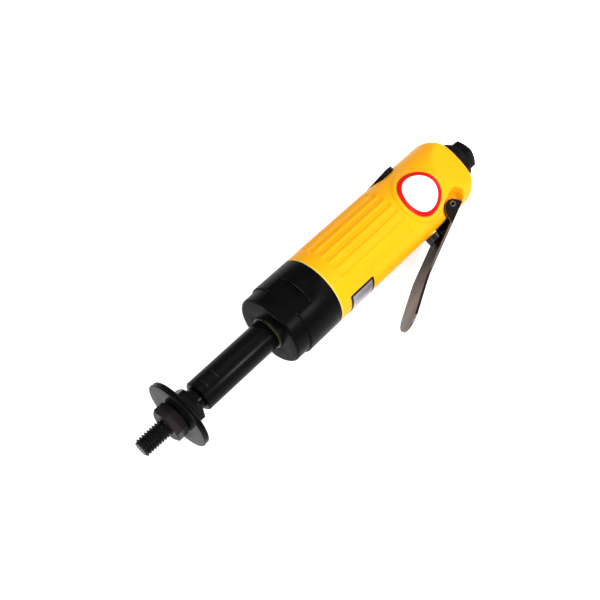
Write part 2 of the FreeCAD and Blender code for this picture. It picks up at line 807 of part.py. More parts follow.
def make_motor():
    outer = read("motor_radius") - press_gap
    thick_side = (read("motor_bore_radius") - read("motor_offset") + read("motor_radius")) / 2
    dowel, dowel_length = read("dowel_radius"), read("dowel_length")
    dowel_start = (cylinder_front + cylinder_back - dowel_length) / 2

    def dowel_hole(name):
        return rod(name, dowel + running_gap, dowel_length + end_gap * 2, dowel_start - end_gap, up=-thick_side)

    blank = rod("cylinder_blank", outer, read("motor_length"), cylinder_front)
    bore = rod("cylinder_bore", read("motor_bore_radius"), read("motor_length") + overrun * 2,
               cylinder_front - overrun, up=read("motor_offset"))
    ports = []
    for index in range(CYLINDER_PORTS):
        along = cylinder_front + read("motor_length") * ((index + 1) / (CYLINDER_PORTS + 1))
        ports.append(rod(f"cylinder_port_{index + 1}", read("port_radius"), read("motor_radius") * 2, along,
                         direction="lever"))
    finished(place(cut("motor_cylinder", blank, [bore, dowel_hole("cylinder_dowel_hole")] + ports)),
             "motor_cylinder")

    spacer = ring("motor_clamp_spacer", read("clamp_spacer_length"), outer,
                  read("motor_radius") - read("clamp_spacer_wall"))
    finished(place(spacer, ring_gear_back), "motor_clamp_spacer")

    seat, web = read("rotor_bearing_radius"), read("plate_web")
    width = read("rotor_bearing_width")
    shaft_hole = read("rotor_shaft_radius") + free_gap
    tail_hole = read("rotor_tail_radius") + free_gap
    front = [(front_plate_front, seat), (front_plate_front, outer), (cylinder_front, outer),
             (cylinder_front, shaft_hole), (cylinder_front - web, shaft_hole), (cylinder_front - web, seat)]
    rear = [(cylinder_back, tail_hole), (cylinder_back, outer), (rear_plate_back, outer), (rear_plate_back, seat),
            (cylinder_back + web, seat), (cylinder_back + web, tail_hole)]
    for name, outline in (("front_end_plate", front), ("rear_end_plate", rear)):
        blank = turned(f"{name}_blank", outline)
        holes = [dowel_hole(f"{name}_dowel_hole")]
        for index in range(PLANETS):
            angle = as_size(FULL_TURN * index / PLANETS)
            circle = read("port_circle")
            holes.append(rod(f"{name}_port_{index + 1}", read("port_radius"), gasket_back - front_plate_front,
                             front_plate_front, circle * sine(angle), circle * cosine(angle)))
        finished(place(cut(name, blank, holes)), name)
    bearing("front_rotor_bearing", cylinder_front - web - width, read("rotor_shaft_radius") - press_gap, seat,
            width, read("rotor_ball_radius"), ROTOR_BALLS)
    bearing("rear_rotor_bearing", cylinder_back + web, read("rotor_tail_radius") - press_gap, seat,
            width, read("rotor_ball_radius"), ROTOR_BALLS)
    bar = turned("motor_dowel", [(ZERO, ZERO), (ZERO, dowel), (dowel_length, dowel), (dowel_length, ZERO)])
    finished(place(bar, dowel_start, up=-thick_side), "motor_dowel")
    gasket = ring("rear_gasket", read("gasket_length"), outer, outer - read("gasket_wall"))
    finished(place(gasket, rear_plate_back), "rear_gasket")


# Housing

def flute_cutters():
    """Round-ended grooves about the housing, from one side of the nameplate round to its other side."""
    radius = read("flute_radius").value
    height = (read("body_radius") - read("flute_depth")).value + radius
    start = (housing_front + read("flute_first")).value
    end = (badge_along - read("pad_radius") - read("flute_margin")).value
    step = FULL_TURN / FLUTES_PER_TURN
    cutters = []
    for index in range(FLUTES_PER_TURN - FLUTES_MISSING):
        angle = math.radians(-FLUTE_END_ANGLE_SHARE * step - index * step)
        side, up = -height * math.sin(angle), height * math.cos(angle)
        first = VECTOR(start + radius * BALL_REACH_SHARE, side, up)
        last = VECTOR(end - radius * BALL_REACH_SHARE, side, up)
        bar = Part.makeCylinder(radius, last.x - first.x, first, VECTOR(1, 0, 0))
        cutters.append(bar.fuse([Part.makeSphere(radius, first), Part.makeSphere(radius, last)]))
    return made("flute_cutters", Part.makeCompound(cutters))


def pocket_section(height, growth):
    """Outline of a lever ear's pocket at one height: a rear round about the pivot, a front one, open outwards."""
    rear, front = read("pocket_rear_radius").value + growth, read("pocket_front_radius").value + growth
    reach, rise = read("pocket_front_reach").value, read("pocket_front_rise").value
    pivot, lever = pivot_along.value, read("pivot_lever").value
    outward = read("body_radius").value + overrun.value * 2
    span = math.hypot(reach, rise)
    slant = math.atan2(-rise, reach) + math.asin((rear - front) / span)
    normal = (-math.sin(-slant), -math.cos(slant))
    rear_foot = (pivot + rear * normal[0], lever + rear * normal[1])
    front_foot = (pivot - reach + front * normal[0], lever + rise + front * normal[1])

    def at(x, lever_side):
        return VECTOR(x, -lever_side, height)

    rear_low = math.radians(POCKET_REAR_ANGLE)
    front_side = math.radians(POCKET_FRONT_ANGLE)
    edges = [
        Part.LineSegment(at(pivot + rear, outward), at(pivot + rear, lever)).toShape(),
        Part.Arc(at(pivot + rear, lever),
                 at(pivot + rear * math.cos(rear_low), lever + rear * math.sin(rear_low)), at(*rear_foot)).toShape(),
        Part.LineSegment(at(*rear_foot), at(*front_foot)).toShape(),
        Part.Arc(at(*front_foot),
                 at(pivot - reach + front * math.cos(front_side), lever + rise + front * math.sin(front_side)),
                 at(pivot - reach - front, lever + rise)).toShape(),
        Part.LineSegment(at(pivot - reach - front, lever + rise), at(pivot - reach - front, outward)).toShape(),
        Part.LineSegment(at(pivot - reach - front, outward), at(pivot + rear, outward)).toShape(),
    ]
    return Part.Wire(edges)


def ear_pockets():
    """Scoops on both sides of the lever's boss, wider towards the outside."""
    inner, outer = read("boss_half_width").value, read("body_radius").value
    flare = read("pocket_flare").value
    scoops = []
    for side in (1, -1):
        sections = [pocket_section(side * inner, 0), pocket_section(side * outer, flare)]
        scoops.append(Part.makeLoft(sections, True, True))
    return made("ear_pockets", Part.makeCompound(scoops))


def web_relief():
    """What the boss under the lever's web gives way to, from the lever's rest to its end."""
    inside, lever, clear = read("lever_inside"), read("pivot_lever"), free_gap / 2
    rest, closed = read("lever_rest_angle"), read("lever_rest_angle") - read("lever_travel")
    low = inside - clear
    back = pivot_along + read("pocket_rear_radius")
    front = pivot_along - read("body_radius")
    top = read("body_radius") + overrun * 2
    ridge = lever + low / cosine(closed)
    outline = [(back, top), (back, lever + low / cosine(rest) - (back - pivot_along) * tangent(rest)),
               (pivot_along, ridge), (front, ridge + (pivot_along - front) * tangent(closed)), (front, top)]
    return slab("web_relief", outline, read("lever_width") + free_gap * 2)


def make_housing():
    body, chamfer, round_end = read("body_radius"), read("housing_rim_chamfer"), read("housing_end_radius")
    spigot_bore, motor_bore = read("spigot_radius") + press_gap, read("motor_radius")
    spigot_back = housing_front + read("spigot_length") + end_gap
    thread_bore = read("bushing_thread_radius") + press_gap
    thread_start = housing_back - read("bushing_thread_length") - end_gap
    inlet_start = valve_along + read("valve_chamber_radius") - end_gap
    inlet = read("inlet_bore_radius")
    outline = [(housing_front, spigot_bore), (housing_front, body - chamfer), (housing_front + chamfer, body),
               (housing_back - round_end, body), (housing_back, body - round_end, -round_end),
               (housing_back, thread_bore), (thread_start, thread_bore), (thread_start, inlet),
               (inlet_start, inlet), (inlet_start, ZERO), (gasket_back, ZERO), (gasket_back, motor_bore),
               (spigot_back, motor_bore), (spigot_back, spigot_bore)]
    blank = turned("housing_blank", outline)
    pad_top = body + read("pad_height")
    pad_blank = rod("pad_blank", read("pad_radius"), pad_top, badge_along, up=body / 2, direction="up")
    pad_limit = place(ring("pad_limit", read("pad_radius") * 2 + overrun * 2, pad_top, (body + motor_bore) / 2),
                      badge_along - read("pad_radius") - overrun, rolled=False)
    solid = fuse("housing_solid", [blank, common("badge_pad", pad_blank, pad_limit)])

    facet_height, slope_run = read("facet_height"), read("facet_length")
    facet = doc.addObject("Part::Box", "rear_facet")
    facet.Placement = FreeCAD.Placement(VECTOR(0, 0, 0), FreeCAD.Rotation(VECTOR(0, 1, 0), 1))
    bind(facet, "Length", slope_run * 2)
    bind(facet, "Width", body * 2)
    bind(facet, "Height", body)
    bind(facet, "Placement.Base.x", housing_back - slope_run)
    bind(facet, "Placement.Base.y", -body)
    bind(facet, "Placement.Base.z", facet_height)
    fall = facet_height - read("facet_end_height")
    facet.setExpression("Placement.Rotation.Angle", f"atan({(fall / slope_run).text})")

    far = body + overrun
    gap = press_gap
    valve_bores = [
        rod("valve_bush_bore", read("valve_bush_radius") + gap, far, valve_along, read("valve_bush_start"),
            direction="lever"),
        rod("upper_chamber", read("upper_chamber_radius"), read("valve_bush_start") + overrun, valve_along,
            direction="lever"),
        rod("lower_chamber", read("valve_chamber_radius") + gap, regulator_face + seat_back, valve_along,
            -regulator_face, direction="lever"),
        rod("regulator_spot_face", read("regulator_radius") + end_gap, far, valve_along,
            -(regulator_face + far), direction="lever"),
        rod("air_passage", read("air_passage_radius"), valve_along - gasket_back + overrun,
            gasket_back - overrun, read("air_passage_lever")),
    ]
    circle, spread = read("exhaust_hole_circle"), read("exhaust_hole_angle")
    exhausts = []
    for index, angle in enumerate((spread, -spread, spread + HALF_TURN, HALF_TURN - spread)):
        exhausts.append(rod(f"exhaust_passage_{index + 1}", read("exhaust_hole_radius"),
                            housing_back - gasket_back + overrun * 2, gasket_back - overrun,
                            circle * sine(angle), circle * cosine(angle)))
    pin_bore = rod("lever_pin_bore", read("lever_pin_radius") + gap, body * 2, pivot_along, read("pivot_lever"),
                   -body, direction="up")
    badge_seat = rod("badge_seat", read("badge_radius") + gap, body, badge_along, direction="up",
                     up=read("body_radius") / 2)
    badge_floor = body + read("pad_height") + read("badge_proud_height") - read("badge_thickness")
    badge_core = rod("badge_core", badge_floor, read("badge_radius") * 2 + overrun * 2,
                     badge_along - read("badge_radius") - overrun)
    tools = [flute_cutters(), facet, web_relief(), ear_pockets(), pin_bore,
             cut("badge_recess", badge_seat, [badge_core]), nameplate_sector("nameplate_seat", True)]
    finished(place(cut("housing", solid, tools + valve_bores + exhausts)), "housing")

    disc = rod("badge_disc", read("badge_radius"), body, badge_along, up=body / 2, direction="up")
    shell = place(ring("badge_shell", read("badge_radius") * 2 + overrun * 2, badge_floor + read("badge_thickness"),
                       badge_floor + press_gap), badge_along - read("badge_radius") - overrun, rolled=False)
    finished(place(common("badge", disc, shell)), "badge")
    finished(place(nameplate_sector("nameplate", False)), "nameplate")


def nameplate_sector(name, seat):
    """A curved plate on the lever's side, or the recess that it sits in."""
    floor = read("body_radius") - read("nameplate_recess_depth")
    spare = end_gap if seat else ZERO
    inner = floor if seat else floor + press_gap
    outer = read("body_radius") + overrun if seat else floor + read("nameplate_thickness")
    length = read("nameplate_length") + spare * 2
    along = housing_front + read("nameplate_start_distance") - spare
    tube = place(ring(f"{name}_tube", length, outer, inner), along, rolled=False)
    reach = outer * 2
    spread = read("nameplate_angle") / 2
    wedge = slab_across(f"{name}_wedge", [(ZERO, ZERO), (reach * cosine(spread), reach * sine(spread)),
                                          (reach * cosine(spread), -(reach * sine(spread)))], along, length, spare)
    return common(name, tube, wedge)


def slab_across(name, outline, along, length, spare):
    """A body of a cross outline (lever, up), from a station and as long as given."""
    body = doc.addObject("PartDesign::Body", name)
    corners = [(ZERO if as_size(lever).text == "0" else -lever, up) for lever, up in outline]
    sketch = outlined(body, f"{name}_outline", "YZ_Plane", corners)
    pad = body.newObject("PartDesign::Pad", f"{name}_length")
    pad.Profile = sketch
    bind(pad, "Length", length)
    return place(body, along, -spare, rolled=False)


# Valve

regulator_face = derived("regulator_face", read("regulator_reach") - read("regulator_height"))
seat_back = derived("seat_back", read("seat_start") + read("seat_thickness"))


def o_ring(name, floor, start):
    """A sealing ring in its groove, about the valve's axis."""
    section = read("o_ring_radius") - press_gap
    torus = doc.addObject("Part::Torus", name)
    bind(torus, "Radius1", floor + section + press_gap)
    bind(torus, "Radius2", section)
    finished(place(torus, valve_along, start + section + press_gap, turn=as_size(QUARTER_TURN)), name)


def make_valve():
    bush, bush_start, bush_end = read("valve_bush_radius"), read("valve_bush_start"), read("valve_bush_end")
    plunger, stem = read("plunger_radius"), read("plunger_stem_radius")
    reach, head = read("plunger_tip_distance"), read("plunger_head_length")
    section = read("o_ring_radius")
    bore = plunger + running_gap
    bush_outline = [(bush_start, bore), (bush_start, bush), (bush_end, bush), (bush_end, bore)]
    finished(place(turned("valve_bush", bush_outline, "lever"), valve_along), "valve_bush")

    poppet_top = read("seat_start") - end_gap
    round_end = plunger * PLUNGER_ROUND_SHARE
    slot_low = reach - head + section
    slot_high = slot_low + section * 2 + end_gap
    slot_floor = plunger - section * 2
    outline = [(poppet_top, ZERO), (poppet_top, stem), (reach - head, stem), (reach - head, plunger),
               (slot_low, plunger), (slot_low, slot_floor), (slot_high, slot_floor), (slot_high, plunger),
               (reach - round_end, plunger), (reach, plunger - round_end, round_end), (reach, ZERO)]
    finished(place(turned("throttle_plunger", outline, "lever"), valve_along), "throttle_plunger")
    o_ring("plunger_o_ring", slot_floor, slot_low + end_gap / 2)

    seat, seat_bore = read("valve_chamber_radius"), read("seat_bore_radius")
    seat_start = read("seat_start")
    seat_outline = [(seat_start, seat_bore), (seat_start, seat), (seat_back, seat), (seat_back, seat_bore)]
    finished(place(turned("valve_seat", seat_outline, "lever"), valve_along), "valve_seat")

    poppet, thickness = read("poppet_radius"), read("poppet_thickness")
    guide = read("spring_radius") - read("spring_wire_radius") - running_gap * 2
    low = poppet_top - thickness
    poppet_outline = [(low - thickness / 2, ZERO), (low - thickness / 2, guide), (low, guide), (low, poppet),
                      (poppet_top, poppet), (poppet_top, ZERO)]
    finished(place(turned("valve_poppet", poppet_outline, "lever"), valve_along), "valve_poppet")

    plug_end = regulator_face - read("regulator_plug_length")
    wire = read("spring_wire_radius")
    length = low + plug_end - wire * 2 - running_gap * 2
    helix = Part.makeHelix((length / read("spring_turns")).value, length.value, read("spring_radius").value)
    section_wire = Part.Wire(Part.makeCircle(wire.value, VECTOR(read("spring_radius").value, 0, 0),
                                             VECTOR(0, 1, 0)))
    spring = Part.Wire(helix).makePipeShell([section_wire], True, True)
    coil = made("valve_spring", spring)
    finished(place(coil, valve_along, wire + running_gap - plug_end, turn=as_size(QUARTER_TURN)), "valve_spring")


def make_regulator():
    face, reach = regulator_face, read("regulator_reach")
    cap, plug, step = read("regulator_radius"), read("valve_chamber_radius"), read("regulator_step")
    end = face - read("regulator_plug_length")
    section = read("o_ring_radius")
    slot_low, slot_high = -(face - section), -(face - section * 3 - end_gap)
    slot_floor = plug - section * 2
    rim = step / 2
    outline = [(-end, ZERO), (-end, plug), (slot_high, plug), (slot_high, slot_floor), (slot_low, slot_floor),
               (slot_low, plug), (-face, plug), (-face, cap), (-reach + rim, cap), (-reach, cap - rim),
               (-reach, ZERO)]
    blank = place(turned("regulator_blank", outline, "lever"), valve_along, rolled=False)
    lower = doc.addObject("Part::Box", "regulator_lower_half")
    bind(lower, "Length", cap * 2)
    bind(lower, "Width", step * 2)
    bind(lower, "Height", cap * 2)
    bind(lower, "Placement.Base.x", valve_along - cap * 2)
    bind(lower, "Placement.Base.y", reach - step)
    bind(lower, "Placement.Base.z", -cap)
    slot = doc.addObject("Part::Box", "regulator_slot")
    width, depth = read("regulator_slot_width"), read("regulator_slot_depth")
    bind(slot, "Length", width)
    bind(slot, "Width", depth * 2)
    bind(slot, "Height", cap * 2)
    bind(slot, "Placement.Base.x", valve_along - width / 2)
    bind(slot, "Placement.Base.y", reach - step - depth)
    bind(slot, "Placement.Base.z", -cap)
    finished(place(cut("regulator_screw", blank, [lower, slot])), "regulator_screw")
    o_ring("regulator_o_ring", slot_floor, slot_low + end_gap / 2)


# Lever

def web_place(reach, offset, angle):
    """A place of the lever's web: how far forward of the pivot, and how far outside of it."""
    return -(reach * cosine(angle)) + offset * sine(angle), reach * sine(angle) + offset * cosine(angle)


def make_lever():
    rest, bend = read("lever_rest_angle"), read("lever_bend_angle")
    inside, thickness, width = read("lever_inside"), read("lever_thickness"), read("lever_width")
    outside = inside + thickness
    half = thickness / 2
    reach, tip = read("lever_bend_reach"), read("lever_tip_reach")
    steep = rest + bend
    corner = web_place(reach, inside + half, rest)
    tangent_run = read("lever_bend_radius") * tangent(bend / 2)

    def before(offset):
        near = web_place(reach - tangent_run, inside + half + offset, rest)
        return near[0] + pivot_along, near[1] + read("pivot_lever")

    def after(run, offset):
        ahead = web_place(run, offset, steep)
        return corner[0] + ahead[0] + pivot_along, corner[1] + ahead[1] + read("pivot_lever")

    rear = web_place(-read("lever_rear_reach"), inside, rest)
    rear_top = web_place(-read("lever_rear_reach"), outside, rest)
    rear = (rear[0] + pivot_along, rear[1] + read("pivot_lever"))
    rear_top = (rear_top[0] + pivot_along, rear_top[1] + read("pivot_lever"))
    bend_radius = read("lever_bend_radius")
    outline = [rear, before(-half), (*after(tangent_run, -half), -(bend_radius + half)), after(tip, -half),
               after(tip, half), after(tangent_run, half), (*before(half), bend_radius - half), rear_top]
    web = slab("lever_web", outline, width)

    pivot_lever = read("pivot_lever")
    front = pivot_along - read("ear_front")
    ear_top = web_place(ZERO, inside, rest)[1] + pivot_lever + read("ear_front") * tangent(rest)
    ear_rear = read("ear_rear_radius")
    drop = read("ear_drop")
    chord = root(ear_rear * ear_rear - drop * drop)
    ear_outline = [(front, ear_top), (front, pivot_lever + read("ear_corner_rise")),
                   (pivot_along - read("ear_foot"), pivot_lever - drop),
                   (pivot_along + chord, pivot_lever - drop), (pivot_along + ear_rear, pivot_lever, ear_rear),
                   (rear[0], rear[1] + half)]
    ears = slab("lever_ears", ear_outline, width)
    hollow_outline = [(front - overrun, ear_top + overrun * 2), (front - overrun, pivot_lever - drop - overrun),
                      (pivot_along + ear_rear + overrun, pivot_lever - drop - overrun),
                      (pivot_along + ear_rear + overrun, ear_top + overrun * 2)]
    hollow = slab("lever_hollow", hollow_outline, width - thickness * 2)
    ear_pair = cut("lever_ear_pair", ears, [hollow])
    tip_box = make_tip_cutter(after(tip - width / 2, ZERO), steep, width, thickness)
    hole = rod("lever_pin_hole", read("lever_pin_radius") + running_gap, width + overrun * 2, pivot_along,
               pivot_lever, -(width / 2) - overrun, direction="up")
    finished(place(cut("throttle_lever", fuse("lever_solid", [web, ear_pair]), [tip_box, hole])),
             "throttle_lever")
    length, radius = read("lever_pin_length"), read("lever_pin_radius")
    edge = radius * PIN_EDGE_SHARE
    pin = [(-(length / 2), ZERO), (-(length / 2), radius - edge), (-(length / 2) + edge, radius),
           (length / 2 - edge, radius), (length / 2, radius - edge), (length / 2, ZERO)]
    finished(place(turned("lever_pin", pin, "up"), pivot_along, pivot_lever), "lever_pin")


def make_tip_cutter(centre, steep, width, thickness):
    """What the lever's tip loses to be round: a block beyond the tip's centre, less a round bar."""
    along, lever = centre[0].value, centre[1].value
    angle = math.radians(steep.value)
    forward = VECTOR(-math.cos(angle), -math.sin(angle), 0)
    outward = VECTOR(math.sin(angle), -math.cos(angle), 0)
    middle = VECTOR(along, -lever, 0)
    half, deep = width.value / 2, thickness.value * 2
    block_shape = Part.makeBox(width.value, width.value * 2, deep * 2)
    block_shape.translate(VECTOR(0, -width.value, -deep))
    bar = Part.makeCylinder(half, deep * 4, VECTOR(0, 0, -deep * 2))
    shape = block_shape.cut(bar)
    across = outward.cross(forward)
    matrix = FreeCAD.Matrix(forward.x, across.x, outward.x, middle.x, forward.y, across.y, outward.y, middle.y,
                            forward.z, across.z, outward.z, middle.z, 0, 0, 0, 1)
    shape.Placement = FreeCAD.Placement(matrix)
    return made("lever_tip_cutter", shape)


# Rear end

def make_rear():
    radius, length = read("exhaust_ring_radius"), read("exhaust_ring_length")
    wall, hub = read("exhaust_ring_wall"), read("bushing_thread_radius") + press_gap
    chamber = length - wall * 2
    outline = [(housing_back, radius - wall), (housing_back, radius), (ring_back - wall, radius),
               (ring_back, radius - wall), (ring_back, hub), (housing_back + chamber, hub),
               (housing_back + chamber, radius - wall)]
    blank = turned("exhaust_ring_blank", outline)
    vents = []
    for index in range(RING_VENTS):
        angle = as_size(FULL_TURN * index / RING_VENTS)
        circle = read("ring_vent_circle")
        vents.append(rod(f"ring_vent_{index + 1}", read("ring_vent_radius"), wall * 4, ring_back - wall * 3,
                         circle * sine(angle), circle * cosine(angle)))
    finished(place(cut("exhaust_ring", blank, vents)), "exhaust_ring")

    thread, bore = read("bushing_thread_radius"), read("bushing_bore_radius")
    start = housing_back - read("bushing_thread_length")
    end = ring_back + read("bushing_hex_length")
    screen = read("screen_radius") + press_gap
    screen_back = start + read("screen_length") + end_gap
    pipe = read("pipe_thread_radius")
    barrel = turned("bushing_barrel", [(start, ZERO), (start, thread), (ring_back, thread), (ring_back, ZERO)])
    hex_end = hexagon("bushing", read("bushing_across"), read("bushing_hex_length"), ring_back,
                      read("bushing_turn_angle"))
    core = turned("bushing_core", [(start - overrun, ZERO), (start - overrun, screen), (screen_back, screen),
                                   (screen_back, bore), (end - read("pipe_thread_length"), bore),
                                   (end - read("pipe_thread_length"), pipe), (end + overrun, pipe),
                                   (end + overrun, ZERO)])
    finished(place(cut("inlet_bushing", fuse("bushing_solid", [barrel, hex_end]), [core])), "inlet_bushing")

    mesh, length = read("screen_wall"), read("screen_length")
    radius = read("screen_radius")
    cup = [(start, ZERO), (start, radius), (start + length, radius), (start + length, radius - mesh),
           (start + mesh, radius - mesh), (start + mesh, ZERO)]
    finished(place(turned("inlet_screen", cup)), "inlet_screen")


make_arbor()
make_clamp()
make_shaft()
make_case()
make_spindle_bearings()
make_gears()
make_carrier()
make_rotor()
make_motor()
make_housing()
make_valve()
make_regulator()
make_lever()
make_rear()
doc.recompute()

# Every object must be sound before anything is written
for item in doc.Objects:
    faults = [word for word in item.State if word in ("Invalid", "Error")]
    if faults:
        raise RuntimeError(f"{item.Name} is {faults}")
for piece in sub_parts:
    if piece.Shape.isNull() or not piece.Shape.isValid() or not piece.Shape.Solids:
        raise RuntimeError(f"{piece.Label} has no sound solid")

os.makedirs("parts", exist_ok=True)
for piece in sub_parts:
    piece.Shape.exportStep(os.path.join("parts", f"{piece.Label}.step"))
print(len(sub_parts), "sub-parts written")
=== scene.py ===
import json
from math import atan2, cos, degrees, pi, radians, sin, sqrt, tan

import bmesh
import bpy
import numpy as np
from mathutils import Matrix, Vector


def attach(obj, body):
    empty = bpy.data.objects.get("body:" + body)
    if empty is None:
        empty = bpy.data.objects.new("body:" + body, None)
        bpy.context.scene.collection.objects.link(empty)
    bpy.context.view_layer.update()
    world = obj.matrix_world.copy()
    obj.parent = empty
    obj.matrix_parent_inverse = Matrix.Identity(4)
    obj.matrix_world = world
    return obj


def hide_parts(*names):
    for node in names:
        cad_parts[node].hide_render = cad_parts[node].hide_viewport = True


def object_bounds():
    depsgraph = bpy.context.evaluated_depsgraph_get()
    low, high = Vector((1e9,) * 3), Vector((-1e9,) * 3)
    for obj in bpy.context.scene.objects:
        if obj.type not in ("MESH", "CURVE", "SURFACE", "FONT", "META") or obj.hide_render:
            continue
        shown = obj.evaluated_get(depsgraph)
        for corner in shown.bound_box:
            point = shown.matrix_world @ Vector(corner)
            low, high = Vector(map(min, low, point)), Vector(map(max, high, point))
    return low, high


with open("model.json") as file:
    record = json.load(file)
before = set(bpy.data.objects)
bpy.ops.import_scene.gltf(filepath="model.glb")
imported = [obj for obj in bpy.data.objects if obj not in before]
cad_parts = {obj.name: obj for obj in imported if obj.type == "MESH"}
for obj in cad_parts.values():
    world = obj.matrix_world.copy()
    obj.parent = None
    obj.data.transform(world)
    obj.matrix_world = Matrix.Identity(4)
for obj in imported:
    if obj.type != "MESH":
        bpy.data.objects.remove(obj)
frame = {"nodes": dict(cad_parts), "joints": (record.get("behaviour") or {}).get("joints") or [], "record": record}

# Pneumatic corner sander. Every piece is made in the tool's own directions, in millimetres: x runs from the
# arbor to the hose fitting, -y is the throttle lever's side and z is the badge's side. The last step of each
# piece rolls it to how the tool lies and brings it to metres.

CAD_BOX = [list(corner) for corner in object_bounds()]
NODES = frame["nodes"]
MM = 0.001
FULL_TURN = 2 * pi

lever_axis = next(Vector(joint["axis"]) for joint in frame["joints"] if joint["name"] == "lever_squeeze")
REST_ROLL = atan2(lever_axis.y, -lever_axis.z)
LAY_DOWN = Matrix.Rotation(REST_ROLL, 4, "X") @ Matrix.Scale(MM, 4)


def corners(node):
    """Lowest and highest corner of a CAD node in the tool's own directions, in millimetres."""
    mesh = NODES[node].data
    places = np.empty(len(mesh.vertices) * 3, np.float32)
    mesh.vertices.foreach_get("co", places)
    places = places.reshape(-1, 3) @ np.array(Matrix.Rotation(REST_ROLL, 3, "X")) / MM
    return places.min(0).astype(float), places.max(0).astype(float)


def front(node):
    return corners(node)[0][0]


def back(node):
    return corners(node)[1][0]


def radius_of(node):
    return np.abs(corners(node))[:, 1:].max()


def middle(node):
    return sum(corners(node)) / 2


# Sizes

BODY_RADIUS = radius_of("gear_case")
CASE_FRONT = front("gear_case")
HOUSING_FRONT, HOUSING_BACK = front("housing"), back("housing")
VALVE_ALONG = middle("valve_bush")[0]
BADGE_ALONG, BADGE_RADIUS = middle("badge")[0], (back("badge") - front("badge")) / 2
PIVOT_ALONG, PIVOT_LEVER = middle("lever_pin")[0], -middle("lever_pin")[1]

GAP = 0.05  # play between a piece and the seat that is cut for it
EDGE = 0.18  # small round on a plain edge
ROUND_STEPS = 160  # faces round a turned piece
PAST = 3  # how far a cutter reaches past what it cuts

LEVER_WIDTH = corners("throttle_lever")[1][2] * 2
LEVER_THICKNESS = 1.4
LEVER_REST, LEVER_CLOSED = radians(18.8), radians(8)
WEB_INSIDE = 3  # from the pivot to the web's inner face
EAR_REACH = 8.8
EAR_REAR = 5.1
# The free edge of an ear, along and out from the pivot
EAR_EDGE = [(-EAR_REACH, 5.0), (-8.5, 2.8), (-7.4, 0.5), (-5.9, -1.3), (-4.2, -2.6), (-2.2, -3.2), (0, -3.1),
            (1.6, -2.5), (3.0, -1.3), (4.2, 0.1), (EAR_REAR, 1.5)]
# Painted shade: the lever is black near the pivot and fades to brown between these distances.
PIVOT_SHADE_FADE_FROM, PIVOT_SHADE_FADE_TO = 31, 63  # where the lever's black gives way to brown, ahead of the pivot
PIN_RADIUS, PIN_BORE = 1.5, 1.05
PLATE_SHORTER = 2  # the nameplate ends this much ahead of its CAD node
PLATE_CORNER = 1.2
PLUNGER_HEAD, PLUNGER_HEAD_START = 4.55, 21.5
BUSH_RADIUS = 5
REGULATOR_FACE, REGULATOR_REACH = 19.2, 22.2
REGULATOR_RADIUS, REGULATOR_STEM = 9.4, 6.98
REGULATOR_STEP, SLOT_DEPTH = 0.9, 2.1

STUD_RADIUS = 4.7625
STUD_PITCH = 1.5875
STUD_DEPTH = 0.86
PIPE_PITCH = 1.41
PIPE_RADIUS = 6.24
CASE_NOSE_RADIUS, CASE_NOSE_LENGTH = 20, 9.2
CASE_BORE, BEARING_BORE = 9.45, 16
CASE_FRONT_WALL, BEARING_SEAT_BACK = 4, 26.5
CASE_FLAT_ACROSS, CASE_FLAT_LENGTH = 36, 19
SEAL_BORE, SEAL_RADIUS = 8.5, 9.4
SHAFT_RADIUS, SHAFT_BORE = 8.4, 4.4
SHAFT_SOCKET_RADIUS, SHAFT_SOCKET_DEPTH = 6.05, 17
SHAFT_FLAT_ACROSS, SHAFT_FLAT_START, SHAFT_FLAT_LENGTH = 16, 5.1, 7
GRIP_FLAT_ANGLE = -20
COLLAR_FRONT, COLLAR_LENGTH = 18.2, 7.3
NECK_RADIUS = 6
HEX_ACROSS = 17
NUT_TURN, COLLAR_TURN, BUSHING_TURN = -16.6, 12.5, 8.5


# Nodes, for materials and for pieces that repeat or follow a path

def reckoned(operation, swapped=False):
    """An operator of Value, as a Math node."""
    def apply(self, other):
        pair = (other, self) if swapped else (self, other)
        return self.nodes.math(operation, *pair)
    return apply


class Value:
    """A number in a node tree, so that a pattern can be written as a sum."""

    def __init__(self, nodes, socket):
        self.nodes, self.socket = nodes, socket

    __add__, __radd__ = reckoned("ADD"), reckoned("ADD", True)
    __sub__, __rsub__ = reckoned("SUBTRACT"), reckoned("SUBTRACT", True)
    __mul__, __rmul__ = reckoned("MULTIPLY"), reckoned("MULTIPLY", True)
    __pow__ = reckoned("POWER")

    def __abs__(self):
        return self.nodes.math("ABSOLUTE", self)

    def least(self, other):
        return self.nodes.math("MINIMUM", self, other)

    def most(self, other):
        return self.nodes.math("MAXIMUM", self, other)


class Nodes:
    """A node tree that is being built."""

    def __init__(self, tree):
        self.tree = tree

    def add(self, kind, settings=None, inputs=None):
        """A node of a kind, its settings first, then the values or links of its sockets."""
        node = self.tree.nodes.new(kind)
        for name, setting in (settings or {}).items():
            setattr(node, name, setting)
        for key, given in (inputs or {}).items():
            self.fill(node.inputs[key], given)
        return node

    def fill(self, socket, given):
        """Sets a socket to a number or colour, or links it."""
        if isinstance(given, Value):
            self.tree.links.new(given.socket, socket)
        elif isinstance(given, bpy.types.NodeSocket):
            self.tree.links.new(given, socket)
        else:
            socket.default_value = given

    def math(self, operation, *numbers):
        node = self.add("ShaderNodeMath", {"operation": operation}, dict(enumerate(numbers)))
        return Value(self, node.outputs[0])

    def ease(self, number, low, high):
        """From 0 at the first value to 1 at the second, smoothly."""
        node = self.add("ShaderNodeMapRange", {"interpolation_type": "SMOOTHSTEP"},
                        {"Value": number, "From Min": low, "From Max": high})
        return Value(self, node.outputs["Result"])


# Finishes

def seen(red, green, blue):
    """A colour as it looks on a screen, from 0 to 255, as light."""
    shares = [channel / 255 for channel in (red, green, blue)]
    return (*(share / 12.92 if share <= 0.04045 else ((share + 0.055) / 1.055) ** 2.4 for share in shares), 1)


